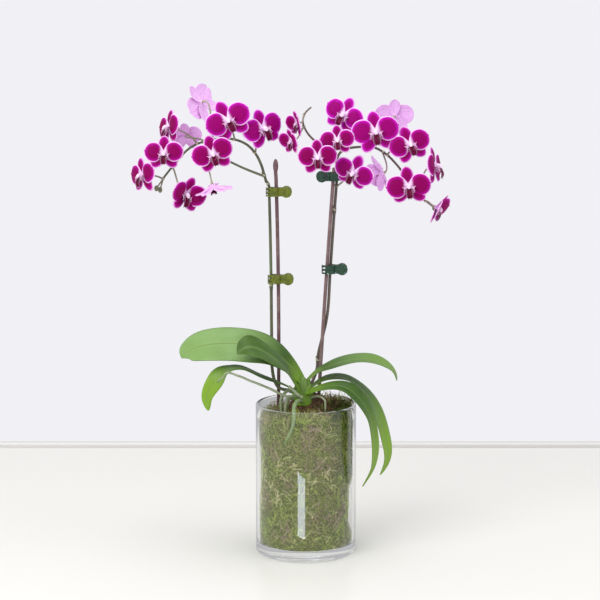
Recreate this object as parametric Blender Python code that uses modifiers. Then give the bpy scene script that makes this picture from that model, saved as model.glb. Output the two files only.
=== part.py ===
"""Miniature moth orchid with two flower spikes, planted in moss in a glass cylinder.

The origin is at the centre of the underside of the glass, +Z is up and +X is to the right.
Routes and places of the plant are in millimetres from the centre of the glass rim.
"""
import math

import bmesh
import bpy
from mathutils import Matrix, Vector

MM = 0.001
GAP = 0.0003  # free space between pieces that rest on or in each other

# Glass cylinder and its filling
VASE_RADIUS = 0.050
VASE_HEIGHT = 0.150
VASE_WALL = 0.0028
VASE_FLOOR = 0.010
VASE_ROUND = 0.0012
MOSS_BELOW_RIM = 0.0055
MOSS_SLOPE = 0.0055  # how much lower the moss lies at the left than in the middle
BALL_RADIUS = 0.026
BALL_HEIGHT = 0.030
BALL_CENTRE = (4, 8, -20)

# Plant
CROWN_RADIUS = 0.0095
CROWN_CENTRE = (-3, 0, 0)
CROWN_PROFILE = [(0, 27), (3.2, 25), (6.4, 20), (8.6, 12), (9.5, 5), (8.4, 0), (5, -3), (0, -4)]
LEAF_THICKNESS = 0.0016
LEAF_STEPS = 11
STEM_RADIUS = 0.0017
PEDICEL_RADIUS = 0.0008
STALK_RISE = 0.15  # how far a flower stalk rises off a rachis, as a share of its length
BUD_RADIUS = 0.0030
BLOOM_SPAN = 0.040
BLOOM_THICKNESS = 0.0016
BLOOM_SPOKES = 28

# Stakes and claw clips
STAKE_RADIUS = 0.0018
STAKE_TOP = 0.234
STAKE_BASE = -0.128  # height at which the foot of a stake is given
STAKE_OFF_FLOOR = 0.012
STAKE_STEPS = 8
STAKE_PAST_CLIP = 0.0085  # from the middle of the upper right clip to the top of its stake
KNOB_RADIUS = 0.0026
KNOB_LENGTH = 0.014
CLIP_HOLD = 0.0072  # from the stake's axis to the stem's axis where a clip holds both
CLIP_INSIDE = CLIP_HOLD / 2 + max(STAKE_RADIUS, STEM_RADIUS) + 2 * GAP
CLIP_WALL = 0.0011
CLIP_HEIGHT = 0.0088
CLIP_REACH = CLIP_INSIDE + 2 * CLIP_WALL  # from the hinge to the middle of the held space
CLIP_PIN_RADIUS = 0.0007
CLIP_LUG_RADIUS = 0.0020
CLIP_GRIP_RADIUS = 0.0057
CLIP_GRIP_PLACE = (0.0052, 0.0046)  # of the middle of a grip, from the hinge
CLIP_GRIP_TILT = 17
CLIP_COMB_START = 0.0030  # from the middle of the held space to the slots between the teeth
CLIP_COMB_LAP = 12  # degrees by which the teeth of the jaws pass each other
CLIP_NECK = (0.0012, 0.0034)  # where the wall runs past the hinge, and where it meets the grip
CLIP_NECK_FLARE = 0.0007
CLIP_WEB_HALF = 0.0013
CLIP_WEB_SPARE = 0.0001
FIXED_SLOTS = [(-0.0028, -0.0008), (0.0008, 0.0028)]
MOVING_SLOTS = [(-CLIP_HEIGHT, -0.0024), (-0.0012, 0.0012), (0.0024, CLIP_HEIGHT)]
FIXED_LUG = (0.0031, 0.0043)  # lowest and highest level of a lug, above and below the middle
MOVING_LUG = (0.0016, 0.0028)
SPRING_RADIUS = 0.0016
SPRING_HALF = 0.0013

GLASS = ("glass", (0.86, 0.93, 0.92), 0.03)
MOSS = ("moss", (0.22, 0.27, 0.06), 0.9)
BARK = ("bark", (0.17, 0.10, 0.05), 0.9)
CROWN = ("crown_green", (0.25, 0.38, 0.10), 0.5)
LEAF = ("leaf_green", (0.16, 0.33, 0.07), 0.4)
ROOT = ("root_grey", (0.52, 0.56, 0.43), 0.7)
STEM_LEFT = ("stem_olive", (0.22, 0.26, 0.10), 0.5)
STEM_RIGHT = ("stem_brown", (0.23, 0.17, 0.13), 0.5)
BLOOM = ("petal_magenta", (0.52, 0.01, 0.27), 0.5)
STAKE_LEFT_COLOUR = ("stake_purple", (0.24, 0.10, 0.13), 0.5)
STAKE_RIGHT_COLOUR = ("stake_red_brown", (0.26, 0.14, 0.13), 0.5)
CLIP_LEFT = ("clip_olive", (0.28, 0.31, 0.02), 0.25)
CLIP_RIGHT = ("clip_green", (0.03, 0.13, 0.08), 0.25)
STEEL = ("spring_steel", (0.6, 0.6, 0.6), 0.3)

# Leaves: route of the midrib from the crown to the tip, widest width, fold of the blade to
# each side, bank of the blade at the base and at the tip in degrees, the fractions between
# which the bank changes, and how pointed the tip is, from 0.5 for a round one.
LEAVES = {
    "leaf_upper_left": (
        [(-4, 2, 22), (-17, 0, 38), (-31, -4, 50), (-50, -4, 57), (-76, -4, 60),
         (-101, -4, 58), (-117, -4, 52), (-123, -5, 46)],
        49, 4, 30, 34, 0.0, 1.0, 1.0,
    ),
    "leaf_front_left": (
        [(-6, -9, 12), (-20, -24, 38), (-35, -29, 52), (-49, -31, 60), (-59, -34, 61), (-67, -37, 56)],
        34, 10, 24, 36, 0.0, 1.0, 1.25,
    ),
    "leaf_lower_left": (
        [(-9, -4, 13), (-26, -10, 22), (-44, -14, 30), (-64, -18, 39), (-80, -20, 36),
         (-90, -22, 25), (-97, -23, 11), (-96, -24, -3)],
        18, 8, 6, 80, 0.50, 0.78, 0.8,
    ),
    "leaf_upper_right": (
        [(-1, 2, 19), (11, 5, 30), (23, 7, 35), (37, 9, 39), (52, 11, 41), (67, 12, 40),
         (80, 13, 35), (88, 13, 28), (91, 13, 20)],
        27, 14, -7, -12, 0.0, 1.0, 0.5,
    ),
    "leaf_right_back": (
        [(2, 3, 13), (16, 10, 21), (29, 14, 23), (42, 17, 20), (54, 19, 11), (64, 19, -1),
         (72, 19, -16), (78, 19, -34), (82, 18, -52), (81, 17, -65), (75, 16, -78)],
        25, 14, -8, -38, 0.2, 0.8, 0.8,
    ),
    "leaf_right_front": (
        [(0, -6, 11), (13, -13, 17), (28, -17, 20), (40, -20, 18), (51, -22, 9), (59, -23, -2),
         (64, -23, -14), (67, -23, -33), (67, -23, -49), (64, -22, -64), (56, -21, -80)],
        24, 14, -24, -5, 0.15, 0.6, 0.8,
    ),
}

# Aerial roots: route, radius in millimetres.
ROOTS = {
    "root_long_left": (
        [(-7, -9, 9), (-19, -16, 10), (-37, -20, 19), (-49, -26, 25), (-62, -32, 32),
         (-76, -36, 37), (-81, -37, 33), (-87, -38, 28)], 1.3,
    ),
    "root_over_crown": ([(-17, -18, 20), (-13, -18, 17), (-8, -17, 12), (-3, -15, 7)], 1.6),
    "root_front_glass": ([(-5, -11, 4), (-9, -24, 6), (-12, -36, 2)], 2.1),
    "root_left_upper": ([(-11, 2, 9), (-18, 0, 12), (-24, -2, 5), (-25, -4, -14)], 1.8),
    "root_left_lower": ([(-12, -4, 4), (-17, -8, 6), (-20, -10, -1), (-20, -11, -18)], 1.7),
    "root_thin_right": ([(5, -4, 6), (14, -13, 9), (19, -19, 5), (19, -22, -12)], 1.2),
}
# Where the front root lies against the inside of the glass: direction in degrees and height.
GLASS_ROOT = [(-105, -9), (-110, -22), (-119, -34)]

# Rachis and side branch of each flower spike beyond its upper clip. The branch starts on the
# rachis at the fraction given.
LEFT_HEAD = [(-40, 21, 221), (-44, 19, 235), (-50, 17, 247), (-59, 16, 256), (-72, 14, 261),
             (-89, 16, 261), (-105, 16, 257), (-117, 14, 250), (-129, 12, 237), (-141, 12, 222)]
LEFT_BRANCH = (0.03, [(-60, 13, 232), (-78, 4, 241), (-92, 1, 246), (-104, -1, 239)])
RIGHT_HEAD = [(30, 26, 236), (33, 24, 246), (40, 21, 251), (51, 18, 253), (66, 16, 253),
              (79, 14, 246), (90, 13, 235), (101, 12, 220), (110, 11, 207), (118, 10, 200)]
RIGHT_BRANCH = (0.04, [(21, 24, 250), (11, 22, 257), (2, 18, 266), (-3, 16, 277), (-1, 16, 286),
                       (5, 17, 292)])
LEFT_PIVOT = Vector(LEFT_HEAD[0])
RIGHT_PIVOT = Vector(RIGHT_HEAD[0])

# Blooms: place of the back of the bloom, way it faces, lean of its upper sepal to the left in
# degrees, span in millimetres, whether half closed, and the line its stalk grows from and where.
LEFT_BLOOMS = [
    ("bloom_left_01", (-75, -10, 280), (0.0, -1.0, 0.1), 28, 43, False, "rachis", 0.43),
    ("bloom_left_02", (-90, -19, 248), (0.1, -1.0, 0.1), 17, 39, False, "branch", 0.75),
    ("bloom_left_03", (-138, -7, 248), (0.0, -1.0, 0.1), 0, 36, False, "rachis", 0.82),
    ("bloom_left_04", (-159, 4, 226), (-0.75, -0.65, 0.0), 10, 37, False, "rachis", 1.0),
    ("bloom_left_05", (-119, -4, 209), (0.6, -0.75, -0.2), -15, 40, True, "rachis", 0.91),
    ("bloom_left_06", (-91, -14, 219), (0.2, 0.15, -0.95), 0, 37, True, "branch", 0.86),
    ("bloom_left_07", (-102, 22, 297), (-0.7, 0.5, -0.35), -35, 42, False, "rachis", 0.57),
    ("bloom_left_08", (-133, 14, 272), (-0.8, -0.5, 0.1), 10, 38, False, "rachis", 0.68),
    ("bloom_left_09", (-119, 28, 263), (0.1, 0.95, 0.2), 0, 30, False, "rachis", 0.63),
    ("bloom_left_10", (-43, 4, 272), (0.5, -0.85, 0.0), 20, 42, False, "rachis", 0.222),
]
RIGHT_BLOOMS = [
    ("bloom_right_01", (37, 0, 285), (-0.3, -1.0, 0.1), -25, 38, False, "rachis", 0.15),
    ("bloom_right_02", (30, -14, 261), (0.0, -1.0, 0.1), 5, 32, False, "branch", 0.12),
    ("bloom_right_03", (11, -20, 245), (0.0, -1.0, 0.05), 3, 36, False, "branch", 0.34),
    ("bloom_right_04", (67, -12, 269), (0.0, -1.0, 0.1), 8, 44, False, "rachis", 0.36),
    ("bloom_right_05", (87, 22, 283), (0.1, 0.95, 0.2), 0, 36, False, "rachis", 0.42),
    ("bloom_right_06", (100, -10, 257), (0.1, -1.0, 0.1), 20, 39, False, "rachis", 0.56),
    ("bloom_right_07", (99, -18, 217), (0.0, -1.0, 0.1), 5, 41, False, "rachis", 0.76),
    ("bloom_right_08", (47, -4, 230), (-0.35, -0.9, -0.2), -25, 38, False, "stem", 0.96),
    ("bloom_right_09", (77, 16, 228), (-0.75, 0.35, -0.35), 0, 42, True, "rachis", 0.52),
    ("bloom_right_10", (124, 2, 235), (0.9, -0.35, 0.1), 0, 40, False, "rachis", 0.90),
    ("bloom_right_11", (126, -1, 196), (0.8, -0.3, -0.4), 0, 38, True, "rachis", 1.0),
    ("bloom_right_12", (-12, 3, 260), (-0.75, -0.6, -0.2), 0, 29, True, "branch", 0.60),
    ("bloom_right_13", (-6, 7, 277), (-0.8, -0.45, -0.15), 0, 29, True, "branch", 0.78),
]
LEFT_BUDS = [((-147, 9, 213), 0.97), ((-144, 16, 211), 0.99)]
RIGHT_BUDS = [((127, 16, 193), 0.98)]

# Stakes: x and y of the foot, x and y of the top, and sideways bow in the middle, in millimetres.
LEFT_STAKE = ((-30.5, 27), (-30, 22), 3.0)
RIGHT_STAKE = ((6, 20), (28, 24), -1.0)
LEFT_CLIPS = (0.121, 0.2085)
RIGHT_CLIPS = (0.131, 0.2234)

# Stems: the route from the crown to the stake, and the way from the stake's axis to the stem's.
LEFT_STEM_LOW = [(-7, 4, 14), (-18, 9, 11), (-29, 17, 14), (-34, 21, 32)]
RIGHT_STEM_LOW = [(-5, 7, 14), (-2, 15, 11), (5, 24, 14), (11, 29, 28), (13, 29, 46)]
LEFT_STEM_AWAY = Vector((-1, 0, 0)) * CLIP_HOLD
RIGHT_STEM_AWAY = Vector((0.8, 0.6, 0)) * (STAKE_RADIUS + STEM_RADIUS + 3 * GAP)


# ---------------------------------------------------------------- places and small helpers
def place(point):
    """World place of a point given in millimetres from the centre of the glass rim."""
    return Vector(point) * MM + Vector((0.0, 0.0, VASE_HEIGHT))


def over_rim(point):
    """The same, for a route that passes the rim: its sideways part follows the glass radius."""
    sideways = VASE_RADIUS / (50 * MM)
    return place((point[0] * sideways, point[1] * sideways, point[2]))


def in_head(point, pivot):
    """The same, for a flower head: it grows with the span of the blooms from its pivot."""
    grown = Vector(pivot) + (Vector(point) - Vector(pivot)) * (BLOOM_SPAN / (40 * MM))
    return place(grown)


def along(points, fraction):
    """Point on the smooth curve through the points, 0 at the first and 1 at the last."""
    last = len(points) - 1
    scaled = min(max(fraction, 0.0), 1.0) * last
    index = min(int(scaled), last - 1)
    t = scaled - index
    before = points[max(index - 1, 0)]
    start = points[index]
    end = points[index + 1]
    after = points[min(index + 2, last)]
    return 0.5 * (
        2 * start
        + (end - before) * t
        + (2 * before - 5 * start + 4 * end - after) * t ** 2
        + (3 * start - before - 3 * end + after) * t ** 3
    )


def material(look):
    """Principled material of a colour and a roughness, made once."""
    name, colour, roughness = look
    if name in bpy.data.materials:
        return bpy.data.materials[name]
    made = bpy.data.materials.new(name)
    made.use_nodes = True
    shader = made.node_tree.nodes["Principled BSDF"]
    shader.inputs["Base Color"].default_value = (*colour, 1.0)
    shader.inputs["Roughness"].default_value = roughness
    shader.inputs["Metallic"].default_value = 1.0 if name == "spring_steel" else 0.0
    made.diffuse_color = (*colour, 1.0)
    return made


def add_object(name, mesh, look, sharp_degrees=40):
    """Object of the part with a smooth mesh and its material."""
    made = bpy.data.objects.new(name, mesh)
    parts.objects.link(made)
    mesh.materials.clear()
    mesh.materials.append(material(look))
    mesh.shade_smooth()
    mesh.set_sharp_from_angle(angle=math.radians(sharp_degrees))
    return made


def mesh_from(bm, name):
    """Mesh data made from a bmesh, which is freed."""
    mesh = bpy.data.meshes.new(name)
    bmesh.ops.recalc_face_normals(bm, faces=bm.faces)
    bm.to_mesh(mesh)
    bm.free()
    return mesh


def evaluated_mesh(source, name):
    """Mesh of an object as its modifiers leave it, with caps welded."""
    bpy.context.view_layer.update()
    graph = bpy.context.evaluated_depsgraph_get()
    mesh = bpy.data.meshes.new_from_object(source.evaluated_get(graph))
    mesh.name = name
    bm = bmesh.new()
    bm.from_mesh(mesh)
    bmesh.ops.transform(bm, matrix=source.matrix_world, verts=bm.verts)
    bmesh.ops.remove_doubles(bm, verts=bm.verts, dist=0.00001)
    bm.to_mesh(mesh)
    bm.free()
    return mesh


def as_guide(guide):
    """Moves an object that only cuts or joins to the collection of guides."""
    for owner in list(guide.users_collection):
        owner.objects.unlink(guide)
    guides.objects.link(guide)
    guide.hide_render = True
    guide.display_type = "WIRE"
    return guide


def guide_from(mesh, name):
    """Guide object with a mesh."""
    guide = bpy.data.objects.new(name, mesh)
    return as_guide(guide)


def boolean(target, tools, operation):
    """Cuts or joins the tools with the target, one Boolean modifier each."""
    for tool in tools:
        modifier = target.modifiers.new(tool.name, "BOOLEAN")
        modifier.operation = operation
        modifier.solver = "EXACT"
        modifier.object = tool
    return target


def tube_mesh(name, points, radii, sides_level=1, handles=None):
    """Closed round tube along a curve, as a mesh. sides_level 0, 1, 2 gives 4, 6, 8 sides."""
    curve = bpy.data.curves.new(name, "CURVE")
    curve.dimensions = "3D"
    curve.bevel_depth = 1.0
    curve.bevel_resolution = sides_level
    curve.use_fill_caps = True
    kind = "BEZIER" if handles else "POLY"
    spline = curve.splines.new(kind)
    knots = spline.bezier_points if handles else spline.points
    knots.add(len(points) - 1)
    for index, (knot, point) in enumerate(zip(knots, points)):
        knot.co = point if handles else (*point, 1.0)
        knot.radius = radii[index]
        if handles:
            knot.handle_left, knot.handle_right = handles[index]
    curve.resolution_u = 4
    holder = bpy.data.objects.new(name, curve)
    guides.objects.link(holder)
    mesh = evaluated_mesh(holder, name)
    bpy.data.objects.remove(holder)
    bpy.data.curves.remove(curve)
    return mesh


def smooth_tube(name, route, radius, tip_radius, steps, sides_level=1):
    """Tube through the smooth curve of a route, from one radius to another."""
    points = [along(route, step / steps) for step in range(steps + 1)]
    radii = [radius + (tip_radius - radius) * step / steps for step in range(steps + 1)]
    return tube_mesh(name, points, radii, sides_level)


def ellipsoid_mesh(name, centre, radii, segments=8, rings=5):
    """Closed ellipsoid."""
    bm = bmesh.new()
    bmesh.ops.create_uvsphere(bm, u_segments=segments, v_segments=rings, radius=1.0)
    bmesh.ops.transform(
        bm, matrix=Matrix.Translation(centre) @ Matrix.Diagonal((*radii, 1.0)), verts=bm.verts
    )
    return mesh_from(bm, name)


def turned_mesh(name, profile, steps):
    """Solid turned about Z from a profile that runs down its outer side."""
    outline = bpy.data.meshes.new(name)
    edges = [(index, index + 1) for index in range(len(profile) - 1)]
    outline.from_pydata([(radius, 0.0, height) for radius, height in profile], edges, [])
    holder = bpy.data.objects.new(name, outline)
    guides.objects.link(holder)
    screw = holder.modifiers.new("turn", "SCREW")
    screw.axis = "Z"
    screw.steps = steps
    screw.render_steps = steps
    screw.use_merge_vertices = True
    screw.merge_threshold = 0.00001
    mesh = evaluated_mesh(holder, name)
    bpy.data.objects.remove(holder)
    bpy.data.meshes.remove(outline)
    return mesh


# ---------------------------------------------------------------- glass and filling
def make_vase():
    """Glass cylinder with a thick floor and a rounded rim."""
    inner = VASE_RADIUS - VASE_WALL
    half_wall = VASE_WALL / 2
    middle = VASE_RADIUS - half_wall
    profile = [(0.0, VASE_FLOOR), (inner - VASE_ROUND, VASE_FLOOR), (inner, VASE_FLOOR + VASE_ROUND)]
    for step in range(5):
        turn = math.pi * (1 - step / 4)
        profile.append(
            (middle + half_wall * math.cos(turn), VASE_HEIGHT - half_wall * (1 - math.sin(turn)))
        )
    profile += [(VASE_RADIUS, VASE_ROUND), (VASE_RADIUS - VASE_ROUND, 0.0), (0.0, 0.0)]
    add_object("glass_vase", turned_mesh("glass_vase", profile, 40), GLASS)


def moss_top(x, y):
    """Height of the uneven moss surface."""
    tilt = MOSS_SLOPE * x / VASE_RADIUS + 0.4 * MOSS_SLOPE * y / VASE_RADIUS
    lumps = 0.0010 * math.sin(150 * x + 1) * math.cos(190 * y)
    return VASE_HEIGHT - MOSS_BELOW_RIM + tilt + lumps


def make_moss(sleeves):
    """Packed moss that fills the glass, with room for what is planted in it."""
    radius = VASE_RADIUS - VASE_WALL - GAP
    floor = VASE_FLOOR + GAP
    # Share of the radius and of the height at each ring, from the middle of the underside up
    rings = [(0.0, 0.0), (0.9, 0.0), (0.93, 0.0), (1.0, 0.03), (1.0, 0.5), (1.0, 0.96), (0.94, 1.0),
             (0.55, 1.0), (0.0, 1.0)]
    bm = bmesh.new()
    bmesh.ops.create_uvsphere(bm, u_segments=32, v_segments=len(rings) - 1, radius=1.0)
    for vert in bm.verts:
        turn = math.atan2(vert.co.y, vert.co.x)
        rise = 1 - math.acos(max(-1.0, min(1.0, vert.co.z))) / math.pi
        share, level = rings[round(rise * (len(rings) - 1))]
        x = radius * share * math.cos(turn)
        y = radius * share * math.sin(turn)
        vert.co = (x, y, floor + level * (moss_top(x, y) - floor))
    moss = add_object("moss", mesh_from(bm, "moss"), MOSS)
    boolean(moss, sleeves, "DIFFERENCE")


def ball_mesh(extra):
    """Root ball, or the room that it needs."""
    radii = (BALL_RADIUS + extra, BALL_RADIUS * 0.9 + extra, BALL_HEIGHT + extra)
    return ellipsoid_mesh("root_ball", place(BALL_CENTRE), radii, 16, 9)


def crown_mesh(extra):
    """Short thick stem that leaves, roots and spikes grow from, or the room that it needs."""
    swell = CROWN_RADIUS / (max(radius for radius, _height in CROWN_PROFILE) * MM)
    highest = CROWN_PROFILE[0][1]
    lowest = CROWN_PROFILE[-1][1]
    middle = (highest + lowest) / 2
    outline = []
    for radius, height in CROWN_PROFILE:
        away = (height - middle) / (highest - middle)
        wide = radius * MM * swell
        outline.append((wide + (extra if radius else 0.0), height * MM + extra * away))
    mesh = turned_mesh("crown", outline, 16)
    mesh.transform(Matrix.Translation(place(CROWN_CENTRE)))
    return mesh


# ---------------------------------------------------------------- leaves and roots
def leaf_width(t, point):
    """Share of the widest width at a place along the leaf."""
    base = 0.28 + 0.72 * math.sin(min(t / 0.5, 1.0) * math.pi / 2) ** 1.3
    tip = 1.0 - (max(0.0, t - 0.58) / 0.43) ** 2
    return base * tip ** point


def smooth_step(low, high, value):
    """0 below low, 1 above high and an S curve between them."""
    t = min(max((value - low) / (high - low), 0.0), 1.0)
    return t * t * (3 - 2 * t)


def make_leaf(name, crown_room):
    """Strap leaf: a grid bent along its midrib, folded to a shallow V and thickened."""
    route, width, fold, bank_base, bank_tip, turn_start, turn_end, point = LEAVES[name]
    points = [over_rim(spot) for spot in route]
    reach = points[-1] - points[0]
    reach.z = 0.0
    level_side = reach.cross(Vector((0, 0, 1))).normalized()
    bm = bmesh.new()
    bmesh.ops.create_grid(bm, x_segments=LEAF_STEPS, y_segments=4, size=0.5)
    for vert in bm.verts:
        t = vert.co.x + 0.5
        across = vert.co.y * 2
        spot = along(points, t)
        run = (along(points, t + 0.02) - along(points, t - 0.02)).normalized()
        side = (level_side - run * level_side.dot(run)).normalized()
        turned = smooth_step(turn_start, turn_end, t)
        bank = math.radians(bank_base + (bank_tip - bank_base) * turned)
        side = Matrix.Rotation(-bank, 3, run) @ side
        upward = side.cross(run)
        half = width / 2 * MM * leaf_width(t, point)
        lift = math.sin(math.radians(fold)) * abs(across)
        vert.co = spot + side * (half * across) + upward * (half * lift)
    leaf = add_object(name, mesh_from(bm, name), LEAF, 60)
    solid = leaf.modifiers.new("thickness", "SOLIDIFY")
    solid.thickness = LEAF_THICKNESS
    solid.offset = 0.0
    boolean(leaf, [crown_room], "DIFFERENCE")


def root_route(name):
    """Route of a root: it lies in or over the glass, so it follows the glass radius."""
    route, radius = ROOTS[name]
    points = [over_rim(point) for point in route]
    if name == "root_front_glass":
        away = VASE_RADIUS - VASE_WALL - GAP - radius * MM
        for degrees, height in GLASS_ROOT:
            turn = math.radians(degrees)
            points.append(Vector((away * math.cos(turn), away * math.sin(turn),
                                  VASE_HEIGHT + height * MM)))
    return points


def root_mesh(name, extra):
    """Aerial root, or the room that it needs."""
    points = root_route(name)
    radius = ROOTS[name][1] * MM
    return smooth_tube(name, points, radius + extra, 0.8 * radius + extra, 3 * len(points) - 3)


def make_root(name, crown_room):
    """Aerial root that starts at the crown."""
    boolean(add_object(name, root_mesh(name, 0.0), ROOT, 60), [crown_room], "DIFFERENCE")


# ---------------------------------------------------------------- stakes and spikes
def stake_axis(stake, height):
    """Place of a stake's axis at a height above the rim. Its foot follows the glass radius."""
    foot, top, bow = stake
    foot = Vector(foot) * (VASE_RADIUS / (50 * MM))
    t = (height - STAKE_BASE) / (STAKE_TOP - STAKE_BASE)
    x = (foot.x + (top[0] - foot.x) * t + bow * (1 - (2 * t - 1) ** 2)) * MM
    y = (foot.y + (top[1] - foot.y) * t) * MM
    return Vector((x, y, VASE_HEIGHT + height))


def stake_mesh(name, stake, radius, top):
    """Thin rod from low in the moss up past the upper clip."""
    low = VASE_FLOOR + STAKE_OFF_FLOOR - VASE_HEIGHT
    heights = [low + (top - low) * step / STAKE_STEPS for step in range(STAKE_STEPS + 1)]
    route = [stake_axis(stake, height) for height in heights]
    return tube_mesh(name, route, [radius] * len(route), 2)


def make_stakes():
    """Both stakes, the left one with a long knob on its top."""
    left = add_object("stake_left", stake_mesh("stake_left", LEFT_STAKE, STAKE_RADIUS, STAKE_TOP),
                      STAKE_LEFT_COLOUR, 60)
    knob_centre = stake_axis(LEFT_STAKE, STAKE_TOP)
    knob = ellipsoid_mesh("knob", knob_centre, (KNOB_RADIUS, KNOB_RADIUS, KNOB_LENGTH / 2), 8, 6)
    boolean(left, [guide_from(knob, "knob")], "UNION")
    right_top = RIGHT_CLIPS[1] + STAKE_PAST_CLIP
    add_object("stake_right", stake_mesh("stake_right", RIGHT_STAKE, STAKE_RADIUS, right_top),
               STAKE_RIGHT_COLOUR, 60)


def stem_points(low, stake, heights, away):
    """Stem from the crown up along its stake, beside it by a given way."""
    return [place(point) for point in low] + [stake_axis(stake, height) + away for height in heights]


def left_stem_points():
    """Left stem from the crown to its upper clip."""
    top = LEFT_CLIPS[1]
    heights = (0.070, LEFT_CLIPS[0], 0.165, top - 0.6 * CLIP_HEIGHT, top + 0.6 * CLIP_HEIGHT)
    return stem_points(LEFT_STEM_LOW, LEFT_STAKE, heights, LEFT_STEM_AWAY)


def right_stem_points():
    """Right stem from the crown to its upper clip."""
    heights = (0.085, RIGHT_CLIPS[0], 0.180, RIGHT_CLIPS[1])
    return stem_points(RIGHT_STEM_LOW, RIGHT_STAKE, heights, RIGHT_STEM_AWAY)


def pedicel_mesh(name, start, end, facing, rise):
    """Flower stalk that rises off its line towards the bloom and meets its back squarely."""
    length = (end - start).length
    leave = start + (end - start).normalized() * length * 0.3 + Vector((0, 0, rise * length))
    arrive = end - facing * length * 0.35
    handles = [(start * 2 - leave, leave), (arrive, end * 2 - arrive)]
    return tube_mesh(name, [start, end], [PEDICEL_RADIUS * 1.2, PEDICEL_RADIUS], 1, handles)


def make_spike(name, stem, head, branch, pivot, blooms, buds, look, crown_room):
    """Stem, rachis, side branch, flower stalks and buds, grown as one piece."""
    rachis = [in_head(point, pivot) for point in head]
    route = stem + rachis
    steps = 2 * len(route)
    main = smooth_tube(name, route, STEM_RADIUS, STEM_RADIUS * 0.6, steps, 2)
    spike = add_object(name, main, look, 60)
    branch_start, branch_points = branch
    side = [along(rachis, branch_start)] + [in_head(point, pivot) for point in branch_points]
    lines = {"stem": stem, "rachis": rachis, "branch": side}
    pieces = [smooth_tube("branch", side, STEM_RADIUS * 0.75, STEM_RADIUS * 0.5, 8, 1)]
    for bloom, spot, facing, _lean, _span, _closed, grown_from, fraction in blooms:
        way = Vector(facing).normalized()
        start = along(lines[grown_from], fraction)
        end = in_head(spot, pivot) - way * GAP
        rise = 0.0 if grown_from == "stem" else STALK_RISE
        pieces.append(pedicel_mesh("stalk_of_" + bloom, start, end, way, rise))
    for spot, fraction in buds:
        tip = in_head(spot, pivot)
        start = along(rachis, fraction)
        pieces.append(tube_mesh("bud_stalk", [start, tip], [PEDICEL_RADIUS] * 2, 1))
        size = (BUD_RADIUS * 0.8, BUD_RADIUS * 0.8, BUD_RADIUS)
        pieces.append(ellipsoid_mesh("bud", tip, size, 8, 5))
    tools = [guide_from(mesh, name + "_" + mesh.name) for mesh in pieces]
    boolean(spike, tools, "UNION")
    boolean(spike, [crown_room], "DIFFERENCE")


# ---------------------------------------------------------------- blooms
def bloom_reach(turn):
    """Reach of a bloom of span 1 in a direction: five round lobes of petals and sepals."""
    lobes = [(10, 0.26, 0.24), (170, 0.26, 0.24), (90, 0.27, 0.15), (234, 0.25, 0.145),
             (306, 0.25, 0.145)]
    reach = 0.14
    for angle, centre, radius in lobes:
        off = turn - math.radians(angle)
        if math.cos(off) <= 0.0 or abs(centre * math.sin(off)) >= radius:
            continue
        edge = centre * math.cos(off) + math.sqrt(radius ** 2 - (centre * math.sin(off)) ** 2)
        reach = max(reach, edge)
    return reach


def bloom_mesh(name, cup):
    """Bloom facing +Z with its upper sepal to +Y: a flat ball drawn out into five lobes."""
    bm = bmesh.new()
    bmesh.ops.create_uvsphere(bm, u_segments=BLOOM_SPOKES, v_segments=4, radius=1.0)
    thin = BLOOM_THICKNESS / 2
    for vert in bm.verts:
        turn = math.atan2(vert.co.y, vert.co.x)
        out = math.hypot(vert.co.x, vert.co.y)
        reach = bloom_reach(turn) * BLOOM_SPAN * out * (1.0 - 0.8 * cup)
        petal = math.cos(turn) ** 2
        rise = cup * BLOOM_SPAN * out ** 2 + 0.0012 * petal * out
        vert.co = (reach * math.cos(turn), reach * math.sin(turn), thin + rise + thin * vert.co.z)
    blank = guide_from(mesh_from(bm, name), name + "_blank")
    lip = ellipsoid_mesh("lip", (0, -0.08 * BLOOM_SPAN, 0.10 * BLOOM_SPAN),
                         (0.07 * BLOOM_SPAN, 0.10 * BLOOM_SPAN, 0.08 * BLOOM_SPAN), 6, 4)
    boolean(blank, [guide_from(lip, name + "_lip")], "UNION")
    mesh = evaluated_mesh(blank, name)
    bpy.data.objects.remove(blank)
    return mesh


def bloom_matrix(spot, facing, lean, span):
    """Turns a bloom from +Z to the way it faces, upper sepal up and then leaning left."""
    way = Vector(facing).normalized()
    up = Vector((0, 0, 1)) if abs(way.z) < 0.85 else Vector((0, 1, 0))
    sepal = (up - way * up.dot(way)).normalized()
    sepal = Matrix.Rotation(math.radians(lean), 3, way) @ sepal
    turn = Matrix((sepal.cross(way), sepal, way)).transposed().to_4x4()
    size = span * MM / (40 * MM)
    return Matrix.Translation(spot) @ turn @ Matrix.Diagonal((size, size, size, 1.0))


def make_blooms(blooms, pivot, open_mesh, closed_mesh):
    """Blooms of one spike."""
    for name, spot, facing, lean, span, closed, _route, _fraction in blooms:
        mesh = closed_mesh if closed else open_mesh
        bloom = add_object(name, mesh, BLOOM, 60)
        bloom.matrix_world = bloom_matrix(in_head(spot, pivot), facing, lean, span)


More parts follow.
